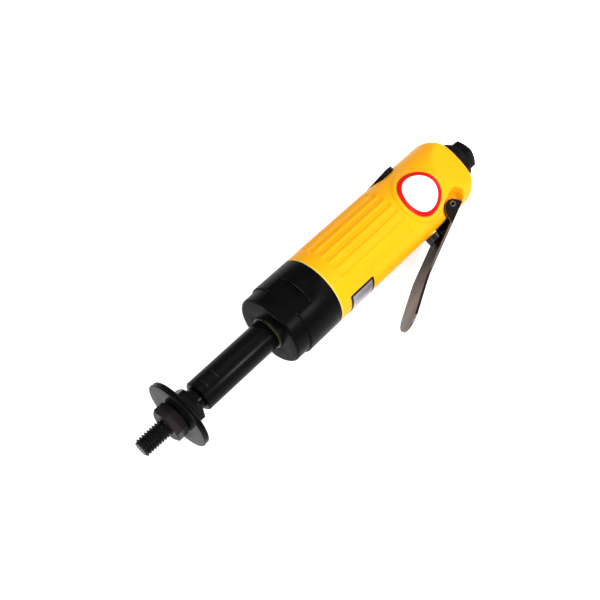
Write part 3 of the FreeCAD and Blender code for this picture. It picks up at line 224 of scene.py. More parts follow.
class Finish(Nodes):
    """A material in the making, with the tool's own places to hand."""

    def __init__(self, name):
        self.material = bpy.data.materials.new(name)
        self.material.use_nodes = True
        super().__init__(self.material.node_tree)
        self.tree.nodes.clear()
        self.shader = self.add("ShaderNodeBsdfPrincipled")
        self.add("ShaderNodeOutputMaterial", inputs={"Surface": self.shader.outputs[0]})
        places = self.add("ShaderNodeTexCoord").outputs["Object"]
        self.place = self.add("ShaderNodeMapping", {"vector_type": "POINT"},
                              {"Vector": places, "Rotation": (-REST_ROLL, 0, 0),
                               "Scale": (1 / MM, 1 / MM, 1 / MM)}).outputs[0]
        split = self.add("ShaderNodeSeparateXYZ", inputs={0: self.place})
        self.x, self.y, self.z = (Value(self, socket) for socket in split.outputs)

    def put(self, socket, given):
        """A number, colour or link for one of the shader's sockets."""
        self.fill(self.shader.inputs[socket], given)

    def mottle(self, size, detail=3, stretch=(1, 1, 1)):
        """Clouds from 0 to 1, with lumps of about the size given in millimetres."""
        place = self.place
        if stretch != (1, 1, 1):
            place = self.add("ShaderNodeVectorMath", {"operation": "MULTIPLY"},
                             {0: self.place, 1: stretch}).outputs[0]
        node = self.add("ShaderNodeTexNoise", inputs={"Vector": place, "Scale": 1 / size, "Detail": detail})
        return Value(self, node.outputs[0])

    def blend(self, share, first, second):
        """A colour between two, by a share."""
        node = self.add("ShaderNodeMix", {"data_type": "RGBA"}, {"Factor": share, "A": first, "B": second})
        return node.outputs["Result"]

    def bump(self, height, depth):
        """Relief of a depth in millimetres, the last touch to a material, which it gives back."""
        node = self.add("ShaderNodeBump", inputs={"Height": height, "Distance": depth * MM, "Strength": 1})
        self.put("Normal", node.outputs[0])
        return self.material

    def worn_edges(self, width):
        """A share that is 1 on sharp outer edges and 0 elsewhere."""
        bevel = self.add("ShaderNodeBevel", {"samples": 8}, {"Radius": width * MM}).outputs[0]
        normal = self.add("ShaderNodeNewGeometry").outputs["Normal"]
        near = self.add("ShaderNodeVectorMath", {"operation": "DOT_PRODUCT"}, {0: bevel, 1: normal})
        return self.ease(Value(self, near.outputs["Value"]), 0.99, 0.86)


def gloss_paint():
    """Thick yellow gloss paint: faint clouds, a fine peel and a painted highlight, a paler line round the housing's
    front rim.
    """
    finish = Finish("yellow_gloss_paint")
    clouds = finish.mottle(9, 2)
    peel = finish.mottle(0.9, 2)
    body = finish.blend(clouds, seen(251, 169, 14), seen(254, 176, 19))
    # Painted highlight: the front rim's chamfer is mixed towards pale yellow to stand for the light it catches.
    rim = finish.ease(finish.x, HOUSING_FRONT + 0.75, HOUSING_FRONT + 0.4)
    finish.put("Base Color", finish.blend(rim * 0.8, body, seen(255, 236, 120)))
    finish.put("Roughness", finish.mottle(3) * 0.08 + 0.26)
    finish.put("Specular IOR Level", 0.025)
    finish.put("Coat Weight", 0.05)
    finish.put("Coat Roughness", 0.12)
    return finish.bump(peel, 0.008)


def black_finish(name, colour, worn_colour, roughness, grain=0.006, wear=0.2, gloss=0.03):
    """A blackened or painted black metal with fine tool marks and edges that have rubbed lighter."""
    finish = Finish(name)
    edges = finish.worn_edges(wear) * finish.ease(finish.mottle(1.6), 0.3, 0.6)
    marks = finish.mottle(0.5, 2, stretch=(0.08, 1, 1))
    base = finish.blend(finish.mottle(5), colour, tuple(channel * 1.5 for channel in colour[:3]) + (1,))
    finish.put("Base Color", finish.blend(edges, base, worn_colour))
    finish.put("Roughness", finish.mottle(2.5) * 0.12 + roughness)
    finish.put("Metallic", edges)
    finish.put("Specular IOR Level", gloss)
    return finish.bump(marks, grain)


def bare_metal(name, colour, roughness, size=0.6, along=(1, 1, 1), depth=0.004):
    """A bare metal with tool marks, which run one way where they are drawn out."""
    finish = Finish(name)
    marks = finish.mottle(size, 3, stretch=along)
    darker = tuple(channel * 0.72 for channel in colour[:3]) + (1,)
    finish.put("Base Color", finish.blend(finish.mottle(4), darker, colour))
    finish.put("Metallic", 1.0)
    finish.put("Roughness", marks * 0.14 + roughness)
    return finish.bump(marks, depth)


def rubber_or_plastic(name, colour, roughness, grain=0.01):
    """A moulded black or brown material with a fine matt grain."""
    finish = Finish(name)
    lighter = tuple(channel * 1.6 + 0.004 for channel in colour[:3]) + (1,)
    finish.put("Base Color", finish.blend(finish.mottle(3), colour, lighter))
    finish.put("Roughness", finish.mottle(1.2) * 0.16 + roughness)
    finish.put("Specular IOR Level", 0.03)
    return finish.bump(finish.mottle(0.25), grain)


def enamel():
    """White enamel with a red band round its edge, and a bare field inside."""
    finish = Finish("white_and_red_enamel")
    reach = ((finish.x - BADGE_ALONG) ** 2 + finish.y ** 2) ** 0.5
    band, rim_start, rim_end = BADGE_RADIUS - 2.5, BADGE_RADIUS - 0.16, BADGE_RADIUS - 0.08
    red = finish.ease(reach, band - 0.06, band + 0.06) * finish.ease(reach, rim_end, rim_start)
    rim = finish.ease(reach, rim_start, rim_end)
    field = finish.blend(finish.mottle(6), seen(236, 236, 238), seen(246, 246, 246))
    printed = finish.blend(red, field, seen(208, 16, 12))
    finish.put("Base Color", finish.blend(rim, printed, seen(176, 60, 50)))
    finish.put("Roughness", finish.mottle(2) * 0.06 + 0.24)
    finish.put("Specular IOR Level", 0.1)
    return finish.bump(finish.mottle(1.5), 0.004)


def printed_foil():
    """Aluminium foil with a printed black border and a bare field."""
    finish = Finish("bordered_foil")
    low, high = corners("nameplate")
    high[0] -= PLATE_SHORTER
    centre, half = (low[0] + high[0]) / 2, (high[0] - low[0]) / 2
    angle = abs(finish.math("ARCTAN2", finish.z, 0 - finish.y))
    edge_angle = atan2(high[2], -high[1])
    border = 1.5
    inward = (half - abs(finish.x - centre)).least((edge_angle - angle) * BODY_RADIUS)
    bare = finish.ease(inward, border - 0.1, border + 0.1)
    brushed = finish.mottle(0.4, 3, stretch=(0.05, 1, 1))
    foil = finish.blend(brushed, seen(150, 148, 158), seen(186, 184, 192))
    finish.put("Base Color", finish.blend(bare, seen(14, 11, 14), foil))
    finish.put("Metallic", bare * 0.9)
    finish.put("Specular IOR Level", 0.1)
    finish.put("Roughness", brushed * 0.15 + 0.3)
    return finish.bump(brushed, 0.004)


def sheet_with_painted_pivot_shade():
    """Sheet steel, brown towards the lever's tip and bright on its edges; the black near the pivot is painted
    shade.
    """
    finish = Finish("lever_sheet_painted_shade")
    marks = finish.mottle(0.7, 3, stretch=(0.12, 1, 1))
    forward = PIVOT_ALONG - finish.x
    # Painted shade: the web is black near the pivot and the ears, fading to brown towards the tip.
    clear_of_painted_shade = finish.ease(forward + finish.mottle(5) * 8, PIVOT_SHADE_FADE_FROM, PIVOT_SHADE_FADE_TO)
    cooler = finish.mottle(6) * 0.5 + finish.ease(forward, 36, 66) * 0.6
    brown = finish.blend(cooler, seen(94, 77, 66), seen(102, 95, 91))
    broad = finish.blend(clear_of_painted_shade, seen(26, 21, 20), brown)
    half = LEVER_WIDTH / 2
    # Painted highlight and shade on the sheet's side faces: light near the pivot, dark towards the tip.
    sides = finish.ease(abs(finish.z), half - 0.25, half - 0.1) * finish.ease(forward, EAR_REACH, EAR_REACH + 1)
    side_painted_highlight_and_shade = finish.blend(finish.ease(forward, 33, 45), seen(96, 90, 85), seen(26, 24, 24))
    shown = finish.blend(finish.worn_edges(0.35) * 0.9, broad, seen(190, 176, 160))
    finish.put("Base Color", finish.blend(sides, shown, side_painted_highlight_and_shade))
    finish.put("Metallic", clear_of_painted_shade * 0.85)
    finish.put("Specular IOR Level", 0.03)
    finish.put("Roughness", marks * 0.12 + 0.34)
    return finish.bump(marks, 0.003)


def woven_brass():
    """Fine brass wire cloth."""
    finish = Finish("woven_brass")
    around = finish.math("ARCTAN2", finish.y, finish.z)
    ribs = finish.math("SINE", finish.x * 14) * finish.math("SINE", around * 90)
    finish.put("Base Color", finish.blend(finish.mottle(2), seen(150, 118, 60), seen(214, 176, 96)))
    finish.put("Metallic", 1.0)
    finish.put("Roughness", ribs * 0.1 + 0.35)
    return finish.bump(ribs, 0.05)


FINISHES = {
    "yellow_paint": gloss_paint(),
    # On the gear case the wider lighter edges are partly wear and partly painted highlight lines along its edges,
    # such as the tops of the flats' rear walls.
    "black_case": black_finish("black_case_gloss", seen(5, 5, 6), seen(96, 94, 94), 0.27, 0.003, wear=0.35),
    "black_steel": black_finish("blackened_steel", seen(9, 8, 9), seen(140, 136, 134), 0.19, 0.004, gloss=0.042),
    "seal_metal": bare_metal("dull_seal_metal", seen(78, 75, 62), 0.26, 3, depth=0.001),
    "badge_enamel": enamel(),
    "plate_foil": printed_foil(),
    "black_plastic": rubber_or_plastic("black_moulding", seen(10, 10, 11), 0.3, 0.004),
    "brass_mesh": woven_brass(),
    "bright_steel": bare_metal("pin_steel", seen(96, 94, 92), 0.34),
    "gear_steel": bare_metal("ground_steel", seen(168, 168, 172), 0.28, 0.4, (1, 0.1, 0.1)),
    "bearing_steel": bare_metal("bearing_steel", seen(205, 205, 210), 0.12, 0.4, (1, 0.1, 0.1), 0.001),
    "motor_iron": bare_metal("ground_iron", seen(140, 140, 142), 0.4, 0.8),
    "seal_rubber": rubber_or_plastic("nitrile_rubber", seen(28, 28, 28), 0.5),
    "valve_brass": bare_metal("turned_brass", seen(206, 170, 92), 0.28, 0.4, (1, 0.1, 1)),
    "spring_steel": bare_metal("spring_wire", seen(180, 180, 184), 0.3),
    "lever_steel": sheet_with_painted_pivot_shade(),
    "vane_composite": rubber_or_plastic("brown_laminate", seen(120, 84, 50), 0.55),
}
PLUNGER_STEEL = bare_metal("polished_dark_steel", seen(58, 56, 56), 0.16, depth=0.001)
# Painted light: the nut gets a lighter, brownish copy of the blackened steel to stand for light on its faces.
NUT_STEEL_PAINTED_LIGHTER = black_finish("nut_steel_painted_lighter", seen(35, 29, 31), seen(120, 112, 108), 0.3, gloss=0.05)


# Making pieces

def new_piece(name, mesh):
    piece = bpy.data.objects.new(name, mesh)
    bpy.context.scene.collection.objects.link(piece)
    return piece


def from_faces(name, points, faces):
    """A closed piece from points and faces, with its normals outwards."""
    shape = bmesh.new()
    made = [shape.verts.new(point) for point in points]
    for face in faces:
        shape.faces.new([made[index] for index in face])
    bmesh.ops.recalc_face_normals(shape, faces=shape.faces)
    mesh = bpy.data.meshes.new(name)
    shape.to_mesh(mesh)
    shape.free()
    return new_piece(name, mesh)


def between(rings, bored=False):
    """Faces from each ring of points to the next, and back to the first one where there is a bore."""
    faces = []
    for first, second in list(zip(rings, rings[1:])) + ([(rings[-1], rings[0])] if bored else []):
        count = max(len(first), len(second))
        for step in range(count if count > 1 else 0):
            ahead = (step + 1) % count
            if len(second) == 1:
                faces.append((first[step], first[ahead], second[0]))
            elif len(first) == 1:
                faces.append((first[0], second[ahead], second[step]))
            else:
                faces.append((first[step], first[ahead], second[ahead], second[step]))
    return faces


def settled(piece):
    """Turns what a piece's modifiers give into its own mesh."""
    scene_now = bpy.context.evaluated_depsgraph_get()
    mesh = bpy.data.meshes.new_from_object(piece.evaluated_get(scene_now))
    piece.modifiers.clear()
    piece.data = mesh
    return piece


def eased(outline, ease):
    """An outline of (along, radius) corners with each corner rounded. A third value is a corner's own ease."""
    made = []
    count = len(outline)
    for index, corner in enumerate(outline):
        point = Vector(corner[:2])
        reach = corner[2] if len(corner) > 2 else ease
        if corner[1] == 0 or reach == 0:
            made.append(tuple(point))
            continue
        before = Vector(outline[index - 1][:2]) - point
        after = Vector(outline[(index + 1) % count][:2]) - point
        room = min(reach, before.length * 0.45, after.length * 0.45)
        steps = 3 if reach <= 0.4 else 7
        for step in range(steps + 1):
            share = step / steps
            made.append(tuple(point + before.normalized() * room * (1 - share) ** 2
                              + after.normalized() * room * share ** 2))
    return made


def lathed(name, outline, ease=EDGE, direction="x", centre=(0, 0, 0), steps=ROUND_STEPS):
    """A turned piece from an outline of (along, radius) corners, closed through its bore or at its axis."""
    outline = eased(outline, ease)
    points, rings = [], []
    for along, reach in outline:
        start = len(points)
        for step in range(1 if reach == 0 else steps):
            angle = FULL_TURN * step / steps
            across = (reach * cos(angle), reach * sin(angle))
            spot = {"x": (along, *across), "y": (across[0], -along, across[1]), "z": (*across, along)}[direction]
            points.append(Vector(spot) + Vector(centre))
        rings.append(range(start, len(points)))
    return from_faces(name, points, between(rings, all(len(ring) > 1 for ring in rings)))


def block(name, low, high, turn=0):
    """A plain block between two corners, turned about the tool's axis: only a cutter for other pieces."""
    points = [Vector((x, y, z)) for x in (low[0], high[0]) for y in (low[1], high[1]) for z in (low[2], high[2])]
    roll = Matrix.Rotation(radians(turn), 3, "X")
    faces = [(0, 1, 3, 2), (4, 6, 7, 5), (0, 4, 5, 1), (2, 3, 7, 6), (0, 2, 6, 4), (1, 5, 7, 3)]
    return from_faces(name, [roll @ point for point in points], faces)


def worked(piece, tools, operation="DIFFERENCE"):
    """A piece cut by, joined with or limited to others, which are used up."""
    for tool in tools:
        change = piece.modifiers.new("work", "BOOLEAN")
        change.operation = operation
        change.solver = "MANIFOLD"
        change.object = tool
    settled(piece)
    for tool in tools:
        bpy.data.objects.remove(tool)
    return piece


def bevelled(piece, width=EDGE, segments=2, angle=30):
    """Small rounds on a piece's sharp edges."""
    shape = bmesh.new()
    shape.from_mesh(piece.data)
    bmesh.ops.remove_doubles(shape, verts=shape.verts, dist=0.002)
    bmesh.ops.dissolve_limit(shape, angle_limit=radians(0.4), verts=shape.verts, edges=shape.edges)
    shape.to_mesh(piece.data)
    shape.free()
    change = piece.modifiers.new("rounds", "BEVEL")
    change.width = width
    change.segments = segments
    change.limit_method = "ANGLE"
    change.angle_limit = radians(angle)
    change.use_clamp_overlap = True
    return settled(piece)


def copied(node, name):
    """A copy of a CAD node in the tool's own directions, its triangles merged into whole faces."""
    shape = bmesh.new()
    shape.from_mesh(NODES[node].data)
    bmesh.ops.transform(shape, matrix=LAY_DOWN.inverted(), verts=shape.verts)
    bmesh.ops.remove_doubles(shape, verts=shape.verts, dist=0.001)
    bmesh.ops.dissolve_limit(shape, angle_limit=radians(0.5), verts=shape.verts, edges=shape.edges)
    mesh = bpy.data.meshes.new(name)
    shape.to_mesh(mesh)
    shape.free()
    return new_piece(name, mesh)


def body_of(node):
    return next(body for body, members in frame["record"]["behaviour"]["bodies"].items() if node in members)


def slot_of(node):
    return next(part["material_slot"] for part in frame["record"]["subparts"] if part["node"] == node)


def handed_over(piece, node, sharp=28, finish=None):
    """Lays a finished piece down, gives it its finish and its CAD node's place."""
    mesh = piece.data
    mesh.transform(LAY_DOWN)
    mesh.materials.clear()
    mesh.materials.append(finish or FINISHES[slot_of(node)])
    mesh.polygons.foreach_set("use_smooth", [True] * len(mesh.polygons))
    mesh.polygons.foreach_set("material_index", [0] * len(mesh.polygons))
    mesh.set_sharp_from_angle(angle=radians(sharp))
    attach(piece, body_of(node))
    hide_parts(node)


def grown(name, build, sizes, material):
    """A piece that a Geometry Nodes tree makes from named sizes."""
    tree = bpy.data.node_groups.new(name, "GeometryNodeTree")
    tree.interface.new_socket(name="Geometry", in_out="OUTPUT", socket_type="NodeSocketGeometry")
    for size, given in sizes.items():
        kind = "NodeSocketInt" if isinstance(given, int) else "NodeSocketFloat"
        tree.interface.new_socket(name=size, in_out="INPUT", socket_type=kind)
    tree.interface.new_socket(name="Finish", in_out="INPUT", socket_type="NodeSocketMaterial")
    nodes = Nodes(tree)
    entry = nodes.add("NodeGroupInput")
    named = {socket.name: Value(nodes, socket) for socket in entry.outputs if socket.name}
    made = nodes.add("GeometryNodeRealizeInstances", inputs={0: build(nodes, named)}).outputs[0]
    coated = nodes.add("GeometryNodeSetMaterial", inputs={"Geometry": made, "Material": named["Finish"]})
    nodes.add("NodeGroupOutput", inputs={0: coated.outputs[0]})
    piece = new_piece(name, bpy.data.meshes.new(name))
    change = piece.modifiers.new("grown", "NODES")
    change.node_group = tree
    for socket in tree.interface.items_tree:
        if socket.in_out == "INPUT":
            given = sizes.get(socket.name, material)
            change[socket.identifier] = float(given) if isinstance(given, float) else given
    return settled(piece)


def helix(nodes, size):
    """A ridge that winds about an axis: pitch, turns, and how far it reaches out and along."""
    ridge = nodes.add("GeometryNodeCurvePrimitiveCircle", inputs={"Resolution": 4, "Radius": 1.0})
    shares = nodes.add("ShaderNodeCombineXYZ", inputs={0: size["Reach"], 1: size["Half width"], 2: 1.0})
    section = nodes.add("GeometryNodeTransform", inputs={"Geometry": ridge.outputs[0],
                                                         "Scale": shares.outputs[0]})
    path = nodes.add("GeometryNodeCurveSpiral", inputs={
        "Resolution": 72, "Rotations": size["Turns"], "Start Radius": size["Radius"],
        "End Radius": size["Radius"], "Height": size["Turns"] * size["Pitch"]})
    upright = nodes.add("GeometryNodeSetCurveNormal", {"mode": "Z_UP"}, {"Curve": path.outputs[0]})
    share = Value(nodes, nodes.add("GeometryNodeSplineParameter").outputs["Factor"])
    end = (share * size["Turns"]).least((1 - share) * size["Turns"])
    fading = nodes.ease(end, 0.0, size["Run-out"])
    thinned = nodes.add("GeometryNodeSetCurveRadius", inputs={"Curve": upright.outputs[0],
                                                              "Radius": fading * 0.98 + 0.02})
    swept = nodes.add("GeometryNodeCurveToMesh", inputs={
        "Curve": thinned.outputs[0], "Profile Curve": section.outputs[0], "Fill Caps": True})
    return nodes.add("GeometryNodeTransform", inputs={"Geometry": swept.outputs[0],
                                                      "Rotation": (0, pi / 2, 0)}).outputs[0]


def ring_of_holes(nodes, size):
    """Round drills on a circle."""
    circle = nodes.add("GeometryNodeMeshCircle", inputs={"Vertices": size["Count"], "Radius": size["Circle"]})
    drill = nodes.add("GeometryNodeMeshCylinder", inputs={"Vertices": 24, "Radius": size["Radius"],
                                                          "Depth": size["Depth"]})
    placed = nodes.add("GeometryNodeInstanceOnPoints", inputs={"Points": circle.outputs[0],
                                                               "Instance": drill.outputs["Mesh"]})
    return nodes.add("GeometryNodeTransform", inputs={"Geometry": placed.outputs[0],
                                                      "Rotation": (0, pi / 2, 0)}).outputs[0]


def moved(piece, along):
    piece.data.transform(Matrix.Translation((along, 0, 0)))
    return piece


# Hexagons and flats

def prismatic(name, ends):
    """A piece between two end faces of as many corners."""
    count = len(ends[0])
    faces = [tuple(range(count)), tuple(range(count, 2 * count))]
    faces += [(step, (step + 1) % count, (step + 1) % count + count, step + count) for step in range(count)]
    return from_faces(name, ends[0] + ends[1], faces)


def hexagon(name, start, length, across, turn):
    """A hexagon with the rounded chamfers that turning leaves on its corners."""
    tall = across / 2 / cos(pi / 6)
    flat = across / 2 * 0.95
    outline = []
    for step in range(6):
        angle = radians(turn + 60 * step)
        outline.append((tall * sin(angle), tall * cos(angle)))
    prism = prismatic(name, [[(along, -lever, up) for lever, up in outline] for along in (start, start + length)])
    fall = (tall - flat) * tan(radians(30))
    limit = lathed("chamfers", [(start, 0), (start, flat), (start + fall, tall + 0.01),
                                (start + length - fall, tall + 0.01), (start + length, flat),
                                (start + length, 0)], 0)
    return worked(prism, [limit], "INTERSECT")


def flats(across, start, end, reach):
    """Two blocks that cut a pair of wrench flats."""
    return [block("flat_cutter", (start, -reach, side * across / 2), (end, reach, side * reach), GRIP_FLAT_ANGLE)
            for side in (1, -1)]


# Housing

FLUTES_PER_TURN = 25
FLUTES = 19
FIRST_FLUTE_SHARE = 2.5
FLUTE_HALF_WIDTH = 1.9
FLUTE_DEPTH = 0.55
FLUTE_FRONT, FLUTE_BACK = 7.5, 16.5
FLUTE_END = 2.52
COLUMNS_PER_FLUTE = 18
HOUSING_END_ROUND = 9.4
PAD_RADIUS = 15.5
PAD_HEIGHT = 0.8
FACET_LENGTH = 21.5
FACET_HEIGHT, FACET_END_HEIGHT = 19.8, 12.4
BOSS_HALF_WIDTH = 7.65
POCKET_REAR_RADIUS, POCKET_FRONT_RADIUS = 5.8, 4.6
POCKET_REACH, POCKET_RISE = 6.3, 3
POCKET_FLARE, POCKET_REAR_FLARE = 4, 1.4
RELIEF_HALF_WIDTH = 9.65
RELIEF_LOW = 2.85
FLUTE_ROUND, EDGE_ROUND, POCKET_ROUND, FACET_ROUND = 0.3, 0.3, 0.7, 1.2
SPIGOT_BORE, SPIGOT_DEPTH, SPIGOT_RADIUS, SPIGOT_LENGTH = 18.22, 6.8, 18.2, 6.7
MOTOR_BORE, MOTOR_BORE_BACK = 17.02, 171.1
THREAD_BORE, THREAD_DEPTH = 8.22, 14.6
INLET_BORE, INLET_PAST_VALVE = 7, 6.9
WALK_STEP, WALK_STEPS, HALVINGS = 0.15, 90, 14


def least(first, second, ease):
    """The smaller of two distances, with a round where they meet."""
    share = np.clip(0.5 + (second - first) / (2 * ease), 0, 1)
    return second + (first - second) * share - ease * share * (1 - share)


def most(first, second, ease):
    return -least(-first, -second, ease)


def body_height(x):
    """Radius of the plain housing, with its front chamfer and its round rear end."""
    reach = BODY_RADIUS - np.clip(HOUSING_FRONT + 0.5 - x, 0, None)
    past = np.clip(x - (HOUSING_BACK - HOUSING_END_ROUND), 0, HOUSING_END_ROUND)
    return reach - HOUSING_END_ROUND + np.sqrt(HOUSING_END_ROUND ** 2 - past ** 2)


def housing_distance(x, lever, up):
    """How far a place lies outside the housing, below 0 inside it."""
    reach = np.hypot(lever, up)
    near_badge = np.hypot(x - BADGE_ALONG, lever)
    raised = np.clip((PAD_RADIUS + 0.5 - near_badge) / 1.3, 0, 1) * (up > 0)
    distance = reach - body_height(x) - PAD_HEIGHT * raised * raised * (3 - 2 * raised)

    step = FULL_TURN / FLUTES_PER_TURN
    angle = np.arctan2(lever, up)
    order = np.clip(np.round(np.mod(FIRST_FLUTE_SHARE * step - angle, FULL_TURN) / step), 0, FLUTES - 1)
    aside = np.mod(FIRST_FLUTE_SHARE * step - angle, FULL_TURN) - order * step
    aside = np.where(aside > pi, aside - FULL_TURN, aside)
    before = HOUSING_FRONT + FLUTE_FRONT + FLUTE_END
    after = BADGE_ALONG - FLUTE_BACK - FLUTE_END
    along = x - np.clip(x, before, after)
    within = FLUTE_HALF_WIDTH - np.hypot(along, reach * np.sin(aside))
    floor_rise = reach - (BODY_RADIUS - FLUTE_DEPTH) - FLUTE_ROUND * (1 - np.clip(within, 0, 1.2) / 1.2) ** 2
    distance = most(distance, least(floor_rise, within, FLUTE_ROUND), FLUTE_ROUND)

    fall = atan2(FACET_HEIGHT - FACET_END_HEIGHT, FACET_LENGTH)
    ahead = x - (HOUSING_BACK - FACET_LENGTH)
    slid = ahead * cos(fall) - (up - FACET_HEIGHT) * sin(fall)
    above = ahead * sin(fall) + (up - FACET_HEIGHT) * cos(fall)
    distance = most(distance, least(above, slid, 0.8), FACET_ROUND)

    ridge = np.where(x < PIVOT_ALONG,
                     PIVOT_LEVER + RELIEF_LOW / cos(LEVER_CLOSED) + (PIVOT_ALONG - x) * tan(LEVER_CLOSED),
                     PIVOT_LEVER + RELIEF_LOW / cos(LEVER_REST) - (x - PIVOT_ALONG) * tan(LEVER_REST))
    relief = np.minimum(lever - ridge, RELIEF_HALF_WIDTH - np.abs(up))
    relief = np.minimum(relief, PIVOT_ALONG + POCKET_REAR_RADIUS - x)
    distance = most(distance, relief, EDGE_ROUND)

    rise = np.clip((np.abs(up) - BOSS_HALF_WIDTH) / (BODY_RADIUS - BOSS_HALF_WIDTH), 0, 1)
    rear, fore = POCKET_REAR_RADIUS + POCKET_REAR_FLARE * rise, POCKET_FRONT_RADIUS + POCKET_FLARE * rise
    ahead, high = PIVOT_ALONG - x, lever - PIVOT_LEVER
    span = POCKET_REACH ** 2 + POCKET_RISE ** 2
    share = np.clip((ahead * POCKET_REACH + high * POCKET_RISE) / span, 0, 1)
    hull = np.hypot(ahead - share * POCKET_REACH, high - share * POCKET_RISE) - (rear + share * (fore - rear))
    band = np.maximum(-ahead - rear, ahead - POCKET_REACH - fore)
    over = (ahead * POCKET_RISE - high * POCKET_REACH) / sqrt(span)
    scoop = np.minimum(hull, np.maximum(band, over))
    scoop = most(scoop, BOSS_HALF_WIDTH - np.abs(up), 0.8)
    return most(distance, -scoop, POCKET_ROUND)


def housing_rows():
    """Stations along the housing, close together where its shape changes."""
    flute_back = BADGE_ALONG - FLUTE_BACK
    pocket_start, pivot_start, pivot_end = 193, 206, 209
    runs = [(HOUSING_FRONT, HOUSING_FRONT + 1, 6), (HOUSING_FRONT + 1, HOUSING_FRONT + 6.5, 5),
            (HOUSING_FRONT + 6.5, HOUSING_FRONT + 14, 22), (HOUSING_FRONT + 14, flute_back - 7, 10),
            (flute_back - 7, flute_back + 0.5, 22), (flute_back + 0.5, flute_back + 6, 16),
            (flute_back + 6, pocket_start, 12), (pocket_start, pivot_start, 32), (pivot_start, pivot_end, 9),
            (pivot_end, HOUSING_BACK - 2, 38), (HOUSING_BACK - 2, HOUSING_BACK, 12)]
    stations = [np.linspace(start, end, count, endpoint=False) for start, end, count in runs]
    return np.append(np.concatenate(stations), HOUSING_BACK)


def housing_shell():
    """The cast housing, its surface found by walking inwards all around each station."""
    rows = housing_rows()
    columns = FLUTES_PER_TURN * COLUMNS_PER_FLUTE
    angles = FULL_TURN * np.arange(columns) / columns
    x, angle = np.meshgrid(rows, angles, indexing="ij")
    outer = np.full(x.shape, BODY_RADIUS + PAD_HEIGHT + 0.6)
    inner = outer.copy()
    found = np.zeros(x.shape, bool)
    for _ in range(WALK_STEPS):
        nearer = inner - WALK_STEP
        inside = housing_distance(x, nearer * np.sin(angle), nearer * np.cos(angle)) < 0
        outer = np.where(found, outer, inner)
        inner = np.where(found, inner, nearer)
        found |= inside
    for _ in range(HALVINGS):
        half = (inner + outer) / 2
        inside = housing_distance(x, half * np.sin(angle), half * np.cos(angle)) < 0
        inner = np.where(inside, half, inner)
        outer = np.where(inside, outer, half)
    reach = (inner + outer) / 2
    spigot_end, thread_end = HOUSING_FRONT + SPIGOT_DEPTH, HOUSING_BACK - THREAD_DEPTH
    inlet_end = VALVE_ALONG + INLET_PAST_VALVE
    stations = [(MOTOR_BORE_BACK, 0), (MOTOR_BORE_BACK, MOTOR_BORE), (spigot_end, MOTOR_BORE),
                (spigot_end, SPIGOT_BORE), (HOUSING_FRONT, SPIGOT_BORE)]
    stations += zip(rows, reach)
    stations += [(HOUSING_BACK, THREAD_BORE), (thread_end, THREAD_BORE), (thread_end, INLET_BORE),
                 (inlet_end, INLET_BORE), (inlet_end, 0)]
    points, rings = [], []
    for along, radius in stations:
        start = len(points)
        radii = np.broadcast_to(radius, angles.shape) if np.any(radius) else [0]
        points += [(along, -r * sin(a), r * cos(a)) for r, a in zip(radii, angles)]
        rings.append(range(start, len(points)))
    return from_faces("fluted_housing", points, between(rings))


def curved_disc(name, radius, inner, outer, edge=0.15):
    """A round plate that follows the body, between two radii of the tool."""
    bands, steps = 14, 96
    points, rings = [], []
    top = [(radius - edge * 2) * band / bands for band in range(bands + 1)]
    lines = [(reach, outer) for reach in top]
    lines += [(radius - edge, outer - edge * 0.35), (radius, outer - edge * 1.2), (radius, inner)]
    lines += [(reach, inner) for reach in reversed(top)]
    for reach, height in lines:
        start = len(points)
        for step in range(1 if reach == 0 else steps):
            angle = FULL_TURN * step / steps
            along, side = reach * cos(angle), reach * sin(angle)
            points.append((BADGE_ALONG + along, side, sqrt(height ** 2 - side ** 2)))
        rings.append(range(start, len(points)))
    return from_faces(name, points, between(rings))


def curved_plate(name, start, end, spread, inner, outer, corner):
    """A plate with rounded corners that follows the body on the lever's side, between two radii."""
    turns = 36
    arc = radians(spread) * outer
    near = [corner * (1 - cos(pi / 2 * step / 6)) for step in range(7)]
    rows = [start + step for step in near] + [end - step for step in reversed(near)]
    points, layers = [], []
    for radius in (outer, inner):
        layer = []
        for row in rows:
            into = min(row - start, end - row)
            half = arc - corner + sqrt(max(0, corner ** 2 - max(0, corner - into) ** 2))
            line = []
            for step in range(turns + 1):
                angle = (2 * step / turns - 1) * half / outer
                line.append(len(points))
                points.append((row, -radius * cos(angle), radius * sin(angle)))
            layer.append(line)
        layers.append(layer)
    rings = [over + under[::-1] for over, under in zip(*layers)]
    faces = between(rings)
    for ring in (rings[0], rings[-1]):
        faces += [(ring[step], ring[step + 1], ring[-2 - step], ring[-1 - step]) for step in range(turns)]
    return from_faces(name, points, faces)


badge_top = corners("badge")[1][2]
badge_floor = badge_top - 1
plate_low, plate_high = corners("nameplate")
plate_outer = -plate_low[1]
plate_high[0] -= PLATE_SHORTER
plate_spread = degrees(atan2(plate_high[2], -plate_high[1]))
valve_middle, pivot = (VALVE_ALONG, 0, 0), (PIVOT_ALONG, -PIVOT_LEVER, 0)
outside = BODY_RADIUS + 4
seat_back, chamber_radius = 3.5, 4.2  # the valve's chamber, between the regulator and the bush
bush_back, bush_bore = 12, BUSH_RADIUS + 0.02
regulator_bore, pin_bore = REGULATOR_STEM + 0.04, PIN_RADIUS + 0.02

